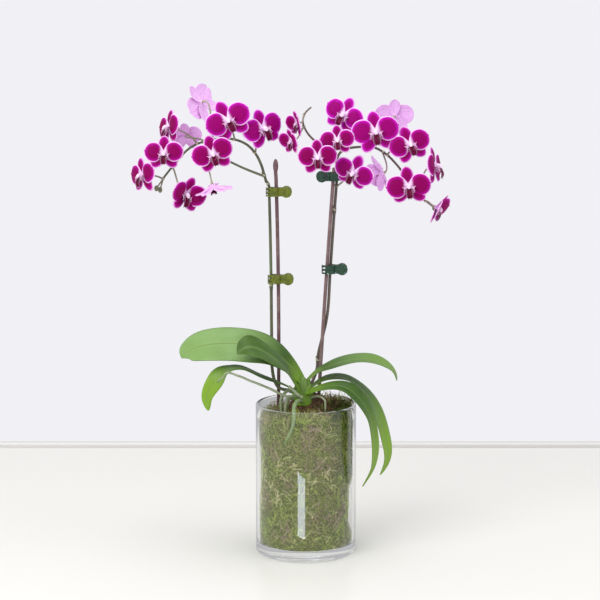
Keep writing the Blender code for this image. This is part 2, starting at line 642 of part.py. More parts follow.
# ---------------------------------------------------------------- claw clips
def clip_strip(name, side):
    """Curved wall of a jaw in plan, from the comb tips round the held space to the grip."""
    middle = CLIP_INSIDE + CLIP_WALL / 2
    beside = CLIP_LUG_RADIUS + GAP + CLIP_WALL / 2 + CLIP_WEB_SPARE
    start = math.pi + math.radians(CLIP_COMB_LAP)
    end = math.asin(beside / middle)
    plan = []
    for step in range(10):
        turn = start + (end - start) * step / 9
        plan.append((middle * math.cos(turn) - CLIP_REACH, middle * math.sin(turn)))
    plan.append((CLIP_NECK[0], beside))
    plan.append((CLIP_NECK[1], beside + CLIP_NECK_FLARE))
    bm = bmesh.new()
    low = [bm.verts.new((x, side * y, -CLIP_HEIGHT / 2)) for x, y in plan]
    edges = [bm.edges.new(pair) for pair in zip(low, low[1:])]
    swept = bmesh.ops.extrude_edge_only(bm, edges=edges)["geom"]
    risen = [item for item in swept if isinstance(item, bmesh.types.BMVert)]
    bmesh.ops.translate(bm, verts=risen, vec=(0, 0, CLIP_HEIGHT))
    sheet = guide_from(mesh_from(bm, name), name + "_sheet")
    wall = sheet.modifiers.new("wall", "SOLIDIFY")
    wall.thickness = CLIP_WALL
    wall.offset = 0.0
    mesh = evaluated_mesh(sheet, name)
    bpy.data.objects.remove(sheet)
    return mesh


def box_mesh(name, low, high):
    """Closed box between two corners."""
    bm = bmesh.new()
    bmesh.ops.create_cube(bm, size=1.0)
    size = Vector(high) - Vector(low)
    centre = (Vector(high) + Vector(low)) / 2
    bmesh.ops.transform(
        bm, matrix=Matrix.Translation(centre) @ Matrix.Diagonal((*size, 1.0)), verts=bm.verts
    )
    return mesh_from(bm, name)


def disc_mesh(name, radius, depth, sides, matrix):
    """Closed round disc."""
    bm = bmesh.new()
    bmesh.ops.create_cone(bm, cap_ends=True, segments=sides, radius1=radius, radius2=radius,
                          depth=depth)
    bmesh.ops.transform(bm, matrix=matrix, verts=bm.verts)
    return mesh_from(bm, name)


def jaw_mesh(name, side):
    """Jaw of a claw clip, hinge axis at its origin. side -1 is the fixed one, 1 the moving one."""
    blank = guide_from(clip_strip(name, side), name + "_blank")
    far = 3 * CLIP_REACH
    comb_end = -CLIP_REACH - CLIP_COMB_START
    cutters = []
    for index, (low, high) in enumerate(FIXED_SLOTS if side < 0 else MOVING_SLOTS):
        box = box_mesh("slot", (-far, -far, low), (comb_end, far, high))
        cutters.append(guide_from(box, name + "_slot_%d" % index))
    boolean(blank, cutters, "DIFFERENCE")
    lug_low, lug_high = FIXED_LUG if side < 0 else MOVING_LUG
    web_end = CLIP_LUG_RADIUS + GAP + CLIP_WALL * 0.6
    solids = []
    for sign in (-1, 1):
        level = sign * (lug_low + lug_high) / 2
        depth = lug_high - lug_low
        spot = Matrix.Translation((0, 0, level))
        solids.append(disc_mesh("lug", CLIP_LUG_RADIUS, depth, 8, spot))
        web_low = (-CLIP_WEB_HALF, min(0, side * web_end), level - depth / 2)
        web_high = (CLIP_WEB_HALF, max(0, side * web_end), level + depth / 2)
        solids.append(box_mesh("web", web_low, web_high))
    grip_spot = (CLIP_GRIP_PLACE[0], side * CLIP_GRIP_PLACE[1], 0)
    tilt = Matrix.Rotation(math.radians(side * CLIP_GRIP_TILT), 4, "Z")
    flat = Matrix.Translation(grip_spot) @ tilt @ Matrix.Rotation(math.pi / 2, 4, "X")
    solids.append(disc_mesh("grip", CLIP_GRIP_RADIUS, CLIP_WALL * 1.2, 12, flat))
    boolean(blank, [guide_from(mesh, name + "_" + mesh.name) for mesh in solids], "UNION")
    bore = disc_mesh("bore", CLIP_PIN_RADIUS + GAP, 2 * CLIP_HEIGHT, 8, Matrix.Identity(4))
    boolean(blank, [guide_from(bore, name + "_bore")], "DIFFERENCE")
    mesh = evaluated_mesh(blank, name)
    bpy.data.objects.remove(blank)
    return mesh


def make_clips():
    """Four claw clips, each a fixed jaw, a moving jaw, a hinge pin and a spring round the pin."""
    fixed = jaw_mesh("jaw_fixed", -1)
    moving = jaw_mesh("jaw_moving", 1)
    pin = disc_mesh("pin", CLIP_PIN_RADIUS, CLIP_HEIGHT, 10, Matrix.Identity(4))
    inner = CLIP_PIN_RADIUS + GAP
    ring = [(inner, SPRING_HALF), (SPRING_RADIUS, SPRING_HALF), (SPRING_RADIUS, -SPRING_HALF),
            (inner, -SPRING_HALF), (inner, SPRING_HALF)]
    spring = turned_mesh("spring", ring, 10)
    clips = [
        ("clip_left_lower", LEFT_STAKE, LEFT_CLIPS[0], LEFT_STEM_AWAY, 1, CLIP_LEFT),
        ("clip_left_upper", LEFT_STAKE, LEFT_CLIPS[1], LEFT_STEM_AWAY, 1, CLIP_LEFT),
        ("clip_right_lower", RIGHT_STAKE, RIGHT_CLIPS[0], RIGHT_STEM_AWAY, 1, CLIP_RIGHT),
        ("clip_right_upper", RIGHT_STAKE, RIGHT_CLIPS[1], RIGHT_STEM_AWAY, -1, CLIP_RIGHT),
    ]
    for name, stake, height, away, way, look in clips:
        hinge = stake_axis(stake, height) + away / 2 + Vector((way * CLIP_REACH, 0, 0))
        turn = Matrix.Rotation(0.0 if way > 0 else math.pi, 4, "Z")
        for part, mesh in (("fixed_jaw", fixed), ("moving_jaw", moving)):
            made = add_object(name + "_" + part, mesh.copy(), look)
            made.matrix_world = Matrix.Translation(hinge) @ turn
        for part, mesh in (("pin", pin), ("spring", spring)):
            made = add_object(name + "_" + part, mesh, STEEL)
            made.matrix_world = Matrix.Translation(hinge) @ turn


# ---------------------------------------------------------------- the whole plant
def make_plant():
    """Builds every piece."""
    make_vase()
    crown_room = guide_from(crown_mesh(GAP), "crown_room")
    ball_room = guide_from(ball_mesh(GAP), "ball_room")
    stake_rooms = []
    for name, stake in (("left", LEFT_STAKE), ("right", RIGHT_STAKE)):
        room = stake_mesh("stake_room_" + name, stake, STAKE_RADIUS + GAP, STAKE_TOP)
        room.transform(Matrix.Translation((0, 0, -GAP)))
        stake_rooms.append(guide_from(room, "stake_room_" + name))
    root_rooms = []
    for name in ROOTS:
        room = root_mesh(name, GAP)
        onward = (root_route(name)[-1] - root_route(name)[-2]).normalized()
        room.transform(Matrix.Translation(onward * GAP))
        root_rooms.append(guide_from(room, name + "_room"))
    make_moss([ball_room, crown_room] + stake_rooms + root_rooms)
    ball = add_object("root_ball", ball_mesh(0.0), BARK)
    boolean(ball, [crown_room, stake_rooms[1]] + root_rooms, "DIFFERENCE")
    add_object("crown", crown_mesh(0.0), CROWN)
    for name in LEAVES:
        make_leaf(name, crown_room)
    for name in ROOTS:
        make_root(name, crown_room)
    make_stakes()
    make_spike("spike_left", left_stem_points(), LEFT_HEAD, LEFT_BRANCH, LEFT_PIVOT, LEFT_BLOOMS,
               LEFT_BUDS, STEM_LEFT, crown_room)
    make_spike("spike_right", right_stem_points(), RIGHT_HEAD, RIGHT_BRANCH, RIGHT_PIVOT,
               RIGHT_BLOOMS, RIGHT_BUDS, STEM_RIGHT, crown_room)
    open_mesh = bloom_mesh("bloom_open", 0.05)
    closed_mesh = bloom_mesh("bloom_half_closed", 0.16)
    make_blooms(LEFT_BLOOMS, LEFT_PIVOT, open_mesh, closed_mesh)
    make_blooms(RIGHT_BLOOMS, RIGHT_PIVOT, open_mesh, closed_mesh)
    make_clips()


for old in list(bpy.data.objects):
    bpy.data.objects.remove(old)
parts = bpy.data.collections.new("potted_orchid")
guides = bpy.data.collections.new("guides")
bpy.context.scene.collection.children.link(parts)
bpy.context.scene.collection.children.link(guides)
make_plant()
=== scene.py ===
"""Looks of a two-spike miniature moth orchid planted in moss in a clear glass cylinder.

Routes and places of the plant are in millimetres from the centre of the glass rim, as in the part's
source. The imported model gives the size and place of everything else.
"""

import math
from collections import namedtuple

import bmesh
import bpy
import numpy as np
from mathutils import Matrix, Vector, noise


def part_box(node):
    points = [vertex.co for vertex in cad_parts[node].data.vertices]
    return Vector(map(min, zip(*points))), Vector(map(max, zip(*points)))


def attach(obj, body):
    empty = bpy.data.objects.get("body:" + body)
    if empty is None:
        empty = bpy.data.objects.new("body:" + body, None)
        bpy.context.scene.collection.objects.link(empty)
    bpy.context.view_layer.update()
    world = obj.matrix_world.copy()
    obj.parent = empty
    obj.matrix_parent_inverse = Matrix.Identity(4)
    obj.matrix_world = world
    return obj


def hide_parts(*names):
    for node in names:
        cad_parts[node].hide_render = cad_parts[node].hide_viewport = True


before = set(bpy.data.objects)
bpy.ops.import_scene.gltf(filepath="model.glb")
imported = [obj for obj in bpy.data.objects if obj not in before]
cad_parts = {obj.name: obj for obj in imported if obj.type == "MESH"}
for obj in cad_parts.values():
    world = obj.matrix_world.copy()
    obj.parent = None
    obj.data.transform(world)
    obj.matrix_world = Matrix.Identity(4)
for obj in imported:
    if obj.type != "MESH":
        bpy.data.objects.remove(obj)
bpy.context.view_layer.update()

MM = 0.001
SEED = 20
chance = np.random.default_rng(SEED)
noise.seed_set(SEED)

# Glass and moss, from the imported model
GLASS_LOW, GLASS_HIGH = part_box("glass_vase")
MOSS_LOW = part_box("moss")[0]
CROWN_LOW, CROWN_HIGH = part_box("crown")
RIM = GLASS_HIGH.z
GLASS_RADIUS = (GLASS_HIGH.x - GLASS_LOW.x) / 2
GLASS_WALL = 0.0028
GLASS_FLOOR = MOSS_LOW.z - 0.0003
MOSS_RADIUS = GLASS_RADIUS - GLASS_WALL - 0.0004
MOSS_BELOW_RIM = 0.0055
MOSS_SLOPE = 0.0055
SIDE_FIBRES = 4000
TOP_TUFTS = 2900
SPRIGS = 420
DRY_ROOTS = 16

# Plant
STEM_RADIUS = 0.0017
PEDICEL_RADIUS = 0.0008
STALK_RISE = 0.15
STAKE_RADIUS = 0.0018
STAKE_TOP = 0.234
STAKE_PAST_CLIP = 0.0085
STAKE_FOOT = -0.128
CLIP_HOLD = 0.0072
CLIP_HEIGHT = 0.0088
GAP = 0.0003
LEFT_STAKE = ((-30.5, 27), (-30, 22), 3.0)
RIGHT_STAKE = ((6, 20), (28, 24), -1.0)
LEFT_CLIPS = (0.121, 0.2085)
RIGHT_CLIPS = (0.131, 0.2234)

# Leaves: route of the midrib, widest width, fold, bank at the base and the tip in degrees, the
# fractions between which the bank changes, how pointed the tip is, then how much painted light the
# upper side gets over its painted shade, and how yellow the last part of the leaf.
LEAVES = {
    "leaf_upper_left": (
        [(-4, 2, 22), (-17, 0, 38), (-31, -4, 50), (-50, -4, 57), (-76, -4, 60),
         (-101, -4, 58), (-117, -4, 52), (-123, -5, 46)],
        49, 4, 30, 34, 0.0, 1.0, 1.0, 0.95, 0.10,
    ),
    "leaf_front_left": (
        [(-6, -9, 12), (-20, -24, 38), (-35, -29, 52), (-49, -31, 60), (-59, -34, 61), (-67, -37, 56)],
        34, 10, 24, 36, 0.0, 1.0, 1.25, 0.03, 0.05,
    ),
    "leaf_lower_left": (
        [(-9, -4, 13), (-26, -10, 22), (-44, -14, 30), (-64, -18, 39), (-80, -20, 36),
         (-90, -22, 25), (-97, -23, 11), (-96, -24, -3)],
        18, 8, 6, 80, 0.50, 0.78, 0.8, 0.45, 1.0,
    ),
    "leaf_upper_right": (
        [(-1, 2, 19), (11, 5, 30), (23, 7, 35), (37, 9, 39), (52, 11, 41), (67, 12, 40),
         (80, 13, 35), (88, 13, 28), (91, 13, 20)],
        27, 14, -7, -12, 0.0, 1.0, 0.5, 0.50, 0.45,
    ),
    "leaf_right_back": (
        [(2, 3, 13), (16, 10, 21), (29, 14, 23), (42, 17, 20), (54, 19, 11), (64, 19, -1),
         (72, 19, -16), (78, 19, -34), (82, 18, -52), (81, 17, -65), (75, 16, -78)],
        25, 14, -8, -38, 0.2, 0.8, 0.8, 0.35, 1.0,
    ),
    "leaf_right_front": (
        [(0, -6, 11), (13, -13, 17), (28, -17, 20), (40, -20, 18), (51, -22, 9), (59, -23, -2),
         (64, -23, -14), (67, -23, -33), (67, -23, -49), (64, -22, -64), (56, -21, -80)],
        24, 14, -24, -5, 0.15, 0.6, 0.8, 0.03, 0.95,
    ),
}

# Aerial roots: route and radius in millimetres
ROOTS = {
    "root_long_left": (
        [(-7, -9, 9), (-19, -16, 10), (-37, -20, 19), (-49, -26, 25), (-62, -32, 32),
         (-76, -36, 37), (-81, -37, 33), (-87, -38, 28)], 1.3,
    ),
    "root_over_crown": ([(-17, -18, 20), (-13, -18, 17), (-8, -17, 12), (-3, -15, 7)], 1.6),
    "root_front_glass": ([(-5, -11, 4), (-9, -24, 6), (-12, -36, 2)], 2.1),
    "root_left_upper": ([(-11, 2, 9), (-18, 0, 12), (-24, -2, 5), (-25, -4, -14)], 1.8),
    "root_left_lower": ([(-12, -4, 4), (-17, -8, 6), (-20, -10, -1), (-20, -11, -18)], 1.7),
    "root_thin_right": ([(5, -4, 6), (14, -13, 9), (19, -19, 5), (19, -22, -12)], 1.2),
}
# Where the front root lies against the inside of the glass: direction in degrees and height
GLASS_ROOT = [(-105, -9), (-110, -22), (-119, -34)]

LEFT_HEAD = [(-40, 21, 221), (-44, 19, 235), (-50, 17, 247), (-59, 16, 256), (-72, 14, 261),
             (-89, 16, 261), (-105, 16, 257), (-117, 14, 250), (-129, 12, 237), (-141, 12, 222)]
LEFT_BRANCH = (0.03, [(-60, 13, 232), (-78, 4, 241), (-92, 1, 246), (-104, -1, 239)])
RIGHT_HEAD = [(30, 26, 236), (33, 24, 246), (40, 21, 251), (51, 18, 253), (66, 16, 253),
              (79, 14, 246), (90, 13, 235), (101, 12, 220), (110, 11, 207), (118, 10, 200)]
RIGHT_BRANCH = (0.04, [(21, 24, 250), (11, 22, 257), (2, 18, 266), (-3, 16, 277), (-1, 16, 286),
                       (5, 17, 292)])

# Blooms: place of the back, way it faces, lean of the upper sepal in degrees, span, whether half
# closed, the line its stalk grows from and where, and how violet the petals are.
Bloom = namedtuple("Bloom", "name back facing lean span half_closed grown_from fraction violet")
LEFT_BLOOMS = [
    Bloom("bloom_left_01", (-75, -10, 280), (0.0, -1.0, 0.1), 28, 43, False, "rachis", 0.43, 0.65),
    Bloom("bloom_left_02", (-90, -19, 248), (0.1, -1.0, 0.1), 17, 39, False, "branch", 0.75, 0.25),
    Bloom("bloom_left_03", (-138, -7, 248), (0.0, -1.0, 0.1), 0, 36, False, "rachis", 0.82, 0.25),
    Bloom("bloom_left_04", (-159, 4, 226), (-0.75, -0.65, 0.0), 10, 37, False, "rachis", 1.0, 0.20),
    Bloom("bloom_left_05", (-119, -4, 209), (0.6, -0.75, -0.2), -15, 40, True, "rachis", 0.91, 0.20),
    Bloom("bloom_left_06", (-91, -14, 219), (0.2, 0.15, -0.95), 0, 37, True, "branch", 0.86, 0.55),
    Bloom("bloom_left_07", (-102, 22, 297), (-0.7, 0.5, -0.35), -35, 42, False, "rachis", 0.57, 0.8),
    Bloom("bloom_left_08", (-133, 14, 272), (-0.8, -0.5, 0.1), 10, 38, False, "rachis", 0.68, 0.10),
    Bloom("bloom_left_09", (-119, 28, 263), (0.1, 0.95, 0.2), 0, 30, False, "rachis", 0.63, 0.6),
    Bloom("bloom_left_10", (-43, 4, 272), (0.5, -0.85, 0.0), 20, 42, False, "rachis", 0.222, 0.85),
]
RIGHT_BLOOMS = [
    Bloom("bloom_right_01", (37, 0, 285), (-0.3, -1.0, 0.1), -25, 38, False, "rachis", 0.15, 0.90),
    Bloom("bloom_right_02", (30, -14, 261), (0.0, -1.0, 0.1), 5, 32, False, "branch", 0.12, 0.15),
    Bloom("bloom_right_03", (11, -20, 245), (0.0, -1.0, 0.05), 3, 36, False, "branch", 0.34, 0.10),
    Bloom("bloom_right_04", (67, -12, 269), (0.0, -1.0, 0.1), 8, 44, False, "rachis", 0.36, 0.75),
    Bloom("bloom_right_05", (87, 22, 283), (0.1, 0.95, 0.2), 0, 36, False, "rachis", 0.42, 0.8),
    Bloom("bloom_right_06", (100, -10, 257), (0.1, -1.0, 0.1), 20, 39, False, "rachis", 0.56, 0.35),
    Bloom("bloom_right_07", (99, -18, 217), (0.0, -1.0, 0.1), 5, 41, False, "rachis", 0.76, 0.20),
    Bloom("bloom_right_08", (47, -4, 230), (-0.35, -0.9, -0.2), -25, 38, False, "stem", 0.96, 0.55),
    Bloom("bloom_right_09", (77, 16, 228), (-0.75, 0.35, -0.35), 0, 42, True, "rachis", 0.52, 0.6),
    Bloom("bloom_right_10", (124, 2, 235), (0.9, -0.35, 0.1), 0, 40, False, "rachis", 0.90, 0.3),
    Bloom("bloom_right_11", (126, -1, 196), (0.8, -0.3, -0.4), 0, 38, True, "rachis", 1.0, 0.3),
    Bloom("bloom_right_12", (-12, 3, 260), (-0.75, -0.6, -0.2), 0, 29, True, "branch", 0.60, 0.1),
    Bloom("bloom_right_13", (-6, 7, 277), (-0.8, -0.45, -0.15), 0, 29, True, "branch", 0.78, 0.1),
]
LEFT_BUDS = [((-147, 9, 213), 0.97), ((-144, 16, 211), 0.99)]
RIGHT_BUDS = [((127, 16, 193), 0.98)]


# ---------------------------------------------------------------- places and shells
def place(point):
    """World place of a point given in millimetres from the centre of the glass rim."""
    return np.array(point, float) * MM + np.array((0.0, 0.0, RIM))


def along(points, fraction):
    """Point on the smooth curve through the points, 0 at the first and 1 at the last."""
    last = len(points) - 1
    scaled = min(max(fraction, 0.0), 1.0) * last
    index = min(int(scaled), last - 1)
    t = scaled - index
    before = points[max(index - 1, 0)]
    start = points[index]
    end = points[index + 1]
    after = points[min(index + 2, last)]
    return 0.5 * (
        2 * start
        + (end - before) * t
        + (2 * before - 5 * start + 4 * end - after) * t ** 2
        + (3 * start - before - 3 * end + after) * t ** 3
    )


def curve(points, fractions):
    """Points on the smooth curve at each of the fractions."""
    return np.array([along(points, fraction) for fraction in fractions])


def around(turn, reach, height):
    """Point at a direction, a reach from the axis of the glass and a height."""
    return np.array((reach * math.cos(turn), reach * math.sin(turn), height))


def circle(sides):
    """Directions evenly spread round a circle."""
    return np.arange(sides) * 2 * math.pi / sides


def moved(points, turn):
    """Rows of points turned and moved by a matrix."""
    return points @ np.array(turn.to_3x3()).T + np.array(turn.translation)


def patches(point, scale, shift):
    """Smooth noise at a point, with patches of about one part in scale of a metre."""
    return noise.noise(Vector(point) * scale + Vector(shift))


def link_object(name, data):
    """New object in the scene."""
    made = bpy.data.objects.new(name, data)
    bpy.context.scene.collection.objects.link(made)
    return made


def unit(vector):
    """The vector at length 1, or each row of vectors at length 1."""
    vector = np.asarray(vector, float)
    return vector / np.maximum(np.linalg.norm(vector, axis=-1, keepdims=True), 1e-12)


def smooth_step(low, high, value):
    """0 below low, 1 above high and an S curve between them."""
    t = np.clip((np.asarray(value, float) - low) / (high - low), 0.0, 1.0)
    return t * t * (3 - 2 * t)


PLANT_VALUES = ("along", "across")
LEAF_VALUES = ("along", "across", "side", "light", "young")
LIP_VALUES = ("along", "across", "side", "maroon", "striped", "yellow")
MOSS_VALUES = ("straw", "brown", "shade")


class Shell:
    """Points, faces and named surface values gathered for one piece."""

    def __init__(self, *keys):
        self.points = []
        self.faces = []
        self.count = 0
        self.values = {key: [] for key in keys}

    def add(self, points, face_sets, **values):
        """Adds a closed shape. A value is one number or one for each point."""
        points = np.asarray(points, float).reshape(-1, 3)
        self.points.append(points)
        for faces in face_sets:
            self.faces += (np.asarray(faces) + self.count).tolist()
        for key, stored in self.values.items():
            value = np.asarray(values.get(key, 0.0), float)
            stored.append(np.broadcast_to(value.reshape(-1), (len(points),)))
        self.count += len(points)


def add_piece(name, shell, look, body="planted_vase", stands_for=(), weld=False):
    """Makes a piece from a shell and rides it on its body."""
    mesh = bpy.data.meshes.new(name)
    mesh.from_pydata(np.concatenate(shell.points).tolist(), [], shell.faces)
    for key, stored in shell.values.items():
        layer = mesh.attributes.new(key, "FLOAT", "POINT")
        layer.data.foreach_set("value", np.concatenate(stored).astype(np.float32))
    bm = bmesh.new()
    bm.from_mesh(mesh)
    if weld:
        bmesh.ops.remove_doubles(bm, verts=bm.verts, dist=1e-6)
    bmesh.ops.recalc_face_normals(bm, faces=bm.faces)
    bm.to_mesh(mesh)
    bm.free()
    mesh.materials.append(look)
    mesh.shade_smooth()
    piece = link_object(name, mesh)
    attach(piece, body)
    if stands_for:
        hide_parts(*stands_for)
    return piece


def sheet_faces(rows, columns):
    """Faces of a thin closed sheet: a front grid, a back grid and the border between them."""
    index = np.arange(rows * columns).reshape(rows, columns)
    front = np.stack(
        [index[:-1, :-1], index[1:, :-1], index[1:, 1:], index[:-1, 1:]], -1).reshape(-1, 4)
    border = np.concatenate(
        [index[0, :], index[1:, -1], index[-1, -2::-1], index[-2:0:-1, 0]])
    onward = np.roll(border, -1)
    size = rows * columns
    rim = np.stack([border, border + size, onward + size, onward], -1)
    return [front, front[:, ::-1] + size, rim]


def add_sheet(shell, grid, half_thickness, along_values, across_values, turn=None, **values):
    """Thickens a grid of points into a closed sheet. Its front is where the grid's normal points."""
    rows, columns = grid.shape[:2]
    down = np.gradient(grid, axis=0)
    over = np.gradient(grid, axis=1)
    normal = unit(np.cross(over, down))
    depth = half_thickness[..., None]
    points = np.concatenate([(grid + normal * depth).reshape(-1, 3),
                             (grid - normal * depth).reshape(-1, 3)])
    if turn is not None:
        points = moved(points, turn)
    size = rows * columns
    side = np.repeat([0.0, 1.0], size)
    doubled = {key: np.tile(np.broadcast_to(value, (rows, columns)).reshape(-1), 2)
               for key, value in values.items()}
    shell.add(points, sheet_faces(rows, columns), side=side,
              along=np.tile(np.broadcast_to(along_values, (rows, columns)).reshape(-1), 2),
              across=np.tile(np.broadcast_to(across_values, (rows, columns)).reshape(-1), 2),
              **doubled)


def add_strap(shell, spine, side, half, lift, thickness, columns, **values):
    """Closed strap about a spine of points. lift raises it off the flat, row by row."""
    run = unit(np.gradient(spine, axis=0))
    upward = unit(np.cross(side, run))
    across = np.linspace(-1, 1, columns)
    grid = (spine[:, None, :] + side[:, None, :] * (half[:, None] * across)[..., None]
            + upward[:, None, :] * lift[..., None])
    rows = len(spine)
    share = np.linspace(0, 1, rows)[:, None]
    add_sheet(shell, grid, thickness, share, across[None, :], **values)


def tube_faces(rings, sides):
    """Faces of a closed tube: its wall, and a fan at each end."""
    index = np.arange(rings * sides).reshape(rings, sides)
    around = np.roll(index, -1, axis=1)
    wall = np.stack([index[:-1], around[:-1], around[1:], index[1:]], -1).reshape(-1, 4)
    first, last = rings * sides, rings * sides + 1
    start = np.stack([around[0], index[0], np.full(sides, first)], -1)
    end = np.stack([index[-1], around[-1], np.full(sides, last)], -1)
    return [wall, start, end]


def add_tube(shell, route, radii, sides, rounding=0.5, **values):
    """Closed round tube along a route, with a radius at each of its points."""
    route = np.asarray(route, float)
    radii = np.broadcast_to(np.asarray(radii, float), (len(route),))
    run = unit(np.gradient(route, axis=0))
    start = np.array((0.0, 0.0, 1.0)) if abs(run[0][2]) < 0.9 else np.array((1.0, 0.0, 0.0))
    side = unit(np.cross(run[0], start))
    turn = circle(sides)
    rings = []
    for spot, way, radius in zip(route, run, radii):
        side = unit(side - way * (side @ way))
        third = np.cross(way, side)
        rings.append(spot + radius * (np.cos(turn)[:, None] * side + np.sin(turn)[:, None] * third))
    ends = [route[0] - run[0] * radii[0] * rounding, route[-1] + run[-1] * radii[-1] * rounding]
    points = np.concatenate(rings + [np.array(ends)])
    share = np.concatenate([np.repeat(np.linspace(0, 1, len(route)), sides), [0.0, 1.0]])
    spin = np.concatenate([np.tile(np.cos(turn), len(route)), [0.0, 0.0]])
    spread = {}
    for key, value in values.items():
        value = np.asarray(value, float)
        if value.size == len(route):
            value = np.concatenate([np.repeat(value, sides), [value[0], value[-1]]])
        spread[key] = value
    spread.setdefault("along", share)
    spread.setdefault("across", spin)
    shell.add(points, tube_faces(len(route), sides), **spread)


def add_ball(shell, centre, radii, rows=10, columns=14, turn=None, **values):
    """Closed ellipsoid with its poles on its own Z axis, turned about its centre."""
    level = np.linspace(-1, 1, rows) * math.pi / 2 * 0.94
    route = np.stack([np.zeros(rows), np.zeros(rows), np.sin(level)], -1)
    turning = circle(columns)
    ring = np.stack([np.cos(turning), np.sin(turning), np.zeros(columns)], -1)
    points = (route[:, None, :] + np.cos(level)[:, None, None] * ring).reshape(-1, 3)
    points = np.concatenate([points, [(0, 0, -1), (0, 0, 1)]]) * np.array(radii)
    if turn is not None:
        points = points @ np.array(turn.to_3x3()).T
    share = np.concatenate([np.repeat(np.linspace(0, 1, rows), columns), [0.0, 1.0]])
    values.setdefault("along", share)
    shell.add(points + np.array(centre), tube_faces(rows, columns), **values)


def add_turned(shell, profile, sides, **values):
    """Solid turned about Z. The profile starts and ends on the axis."""
    middle = np.array(profile[1:-1], float)
    turn = circle(sides)
    points = np.stack([middle[:, :1] * np.cos(turn), middle[:, :1] * np.sin(turn),
                       np.broadcast_to(middle[:, 1:], (len(middle), sides))], -1).reshape(-1, 3)
    points = np.concatenate([points, [(0, 0, profile[0][1]), (0, 0, profile[-1][1])]])
    shell.add(points, tube_faces(len(middle), sides), **values)


def roughened(points, size, depth, seed):
    """Shifts each point of an array by smooth noise."""
    shifted = [np.array(noise.noise_vector(Vector(point / size) + Vector((seed, 0, 0))))
               for point in points]
    return points + depth * np.array(shifted)


# ---------------------------------------------------------------- material helpers
def link_or_set(tree, socket, value):
    """Feeds a socket from another one, or sets it to a plain value."""
    if isinstance(value, bpy.types.NodeSocket):
        tree.links.new(value, socket)
    elif isinstance(value, tuple) and len(value) == 3 and socket.type == "RGBA":
        socket.default_value = (*value, 1.0)
    else:
        socket.default_value = value


def add_node(tree, kind, inputs=None, **settings):
    """Node of a kind, with its settings and its inputs by name or number."""
    made = tree.nodes.new(kind)
    for key, value in settings.items():
        setattr(made, key, value)
    for key, value in (inputs or {}).items():
        link_or_set(tree, made.inputs[key], value)
    return made


def value_of(tree, name):
    """Surface value stored with the mesh."""
    return add_node(tree, "ShaderNodeAttribute", attribute_name=name).outputs["Fac"]


def reckon(tree, operation, first, second=0.0, clamp=False):
    """One sum on numbers."""
    made = add_node(tree, "ShaderNodeMath", {0: first, 1: second}, operation=operation,
                    use_clamp=clamp)
    return made.outputs[0]


def span_of(tree, value, low, high, bottom=0.0, top=1.0):
    """Number moved smoothly from one range to another."""
    made = add_node(tree, "ShaderNodeMapRange", {0: value, 1: low, 2: high, 3: bottom, 4: top},
                    interpolation_type="SMOOTHSTEP")
    return made.outputs[0]


def new_group(name, inputs, outputs):
    """Empty node group with named sockets."""
    tree = bpy.data.node_groups.new(name, "ShaderNodeTree")
    for label, default in inputs:
        socket = tree.interface.new_socket(label, in_out="INPUT", socket_type="NodeSocketFloat")
        socket.default_value = default
    for label, kind in outputs:
        tree.interface.new_socket(label, in_out="OUTPUT", socket_type=kind)
    return tree, tree.nodes.new("NodeGroupInput"), tree.nodes.new("NodeGroupOutput")


def mottling_group():
    """Cloudy mask in the space of the piece."""
    tree, given, result = new_group(
        "mottling", [("Scale", 100.0), ("Detail", 3.0), ("Low", 0.35), ("High", 0.65)],
        [("Mask", "NodeSocketFloat")])
    where = add_node(tree, "ShaderNodeTexCoord").outputs["Object"]
    cloud = add_node(tree, "ShaderNodeTexNoise", {
        "Vector": where, "Scale": given.outputs["Scale"], "Detail": given.outputs["Detail"]})
    mask = span_of(tree, cloud.outputs["Fac"], given.outputs["Low"], given.outputs["High"])
    tree.links.new(mask, result.inputs["Mask"])
    return tree


def growth_lines_group():
    """Fine lines that run along a leaf, petal, stem or root."""
    tree, given, result = new_group(
        "growth_lines", [("Count", 20.0), ("Wander", 2.0), ("Low", 0.4), ("High", 0.6)],
        [("Lines", "NodeSocketFloat")])
    across = reckon(tree, "MULTIPLY", value_of(tree, "across"), given.outputs["Count"])
    lengthways = reckon(tree, "MULTIPLY", value_of(tree, "along"), given.outputs["Wander"])
    spot = add_node(tree, "ShaderNodeCombineXYZ", {0: across, 1: lengthways})
    lines = add_node(tree, "ShaderNodeTexNoise",
                     {"Vector": spot.outputs[0], "Scale": 1.0, "Detail": 2.0})
    mask = span_of(tree, lines.outputs["Fac"], given.outputs["Low"], given.outputs["High"])
    tree.links.new(mask, result.inputs["Lines"])
    return tree


def skin_relief_group():
    """Normal of a finely uneven skin, from a height and small grains."""
    tree, given, result = new_group(
        "skin_relief", [("Height", 0.5), ("Grain Scale", 900.0), ("Grain", 0.3), ("Strength", 0.3),
                        ("Depth", 0.0003)],
        [("Normal", "NodeSocketVector")])
    where = add_node(tree, "ShaderNodeTexCoord").outputs["Object"]
    grain = add_node(tree, "ShaderNodeTexNoise", {
        "Vector": where, "Scale": given.outputs["Grain Scale"], "Detail": 2.0})
    weighed = reckon(tree, "MULTIPLY", grain.outputs["Fac"], given.outputs["Grain"])
    height = reckon(tree, "ADD", given.outputs["Height"], weighed)
    bump = add_node(tree, "ShaderNodeBump", {
        "Height": height, "Strength": given.outputs["Strength"],
        "Distance": given.outputs["Depth"]})
    tree.links.new(bump.outputs[0], result.inputs["Normal"])
    return tree


MOTTLING = mottling_group()
GROWTH_LINES = growth_lines_group()
SKIN_RELIEF = skin_relief_group()


def use_group(tree, group, **inputs):
    """Places a shared group in a material. Spaces in its input names are given as underscores."""
    made = tree.nodes.new("ShaderNodeGroup")
    made.node_tree = group
    for key, value in inputs.items():
        link_or_set(tree, made.inputs[key.replace("_", " ")], value)
    return made.outputs[0]


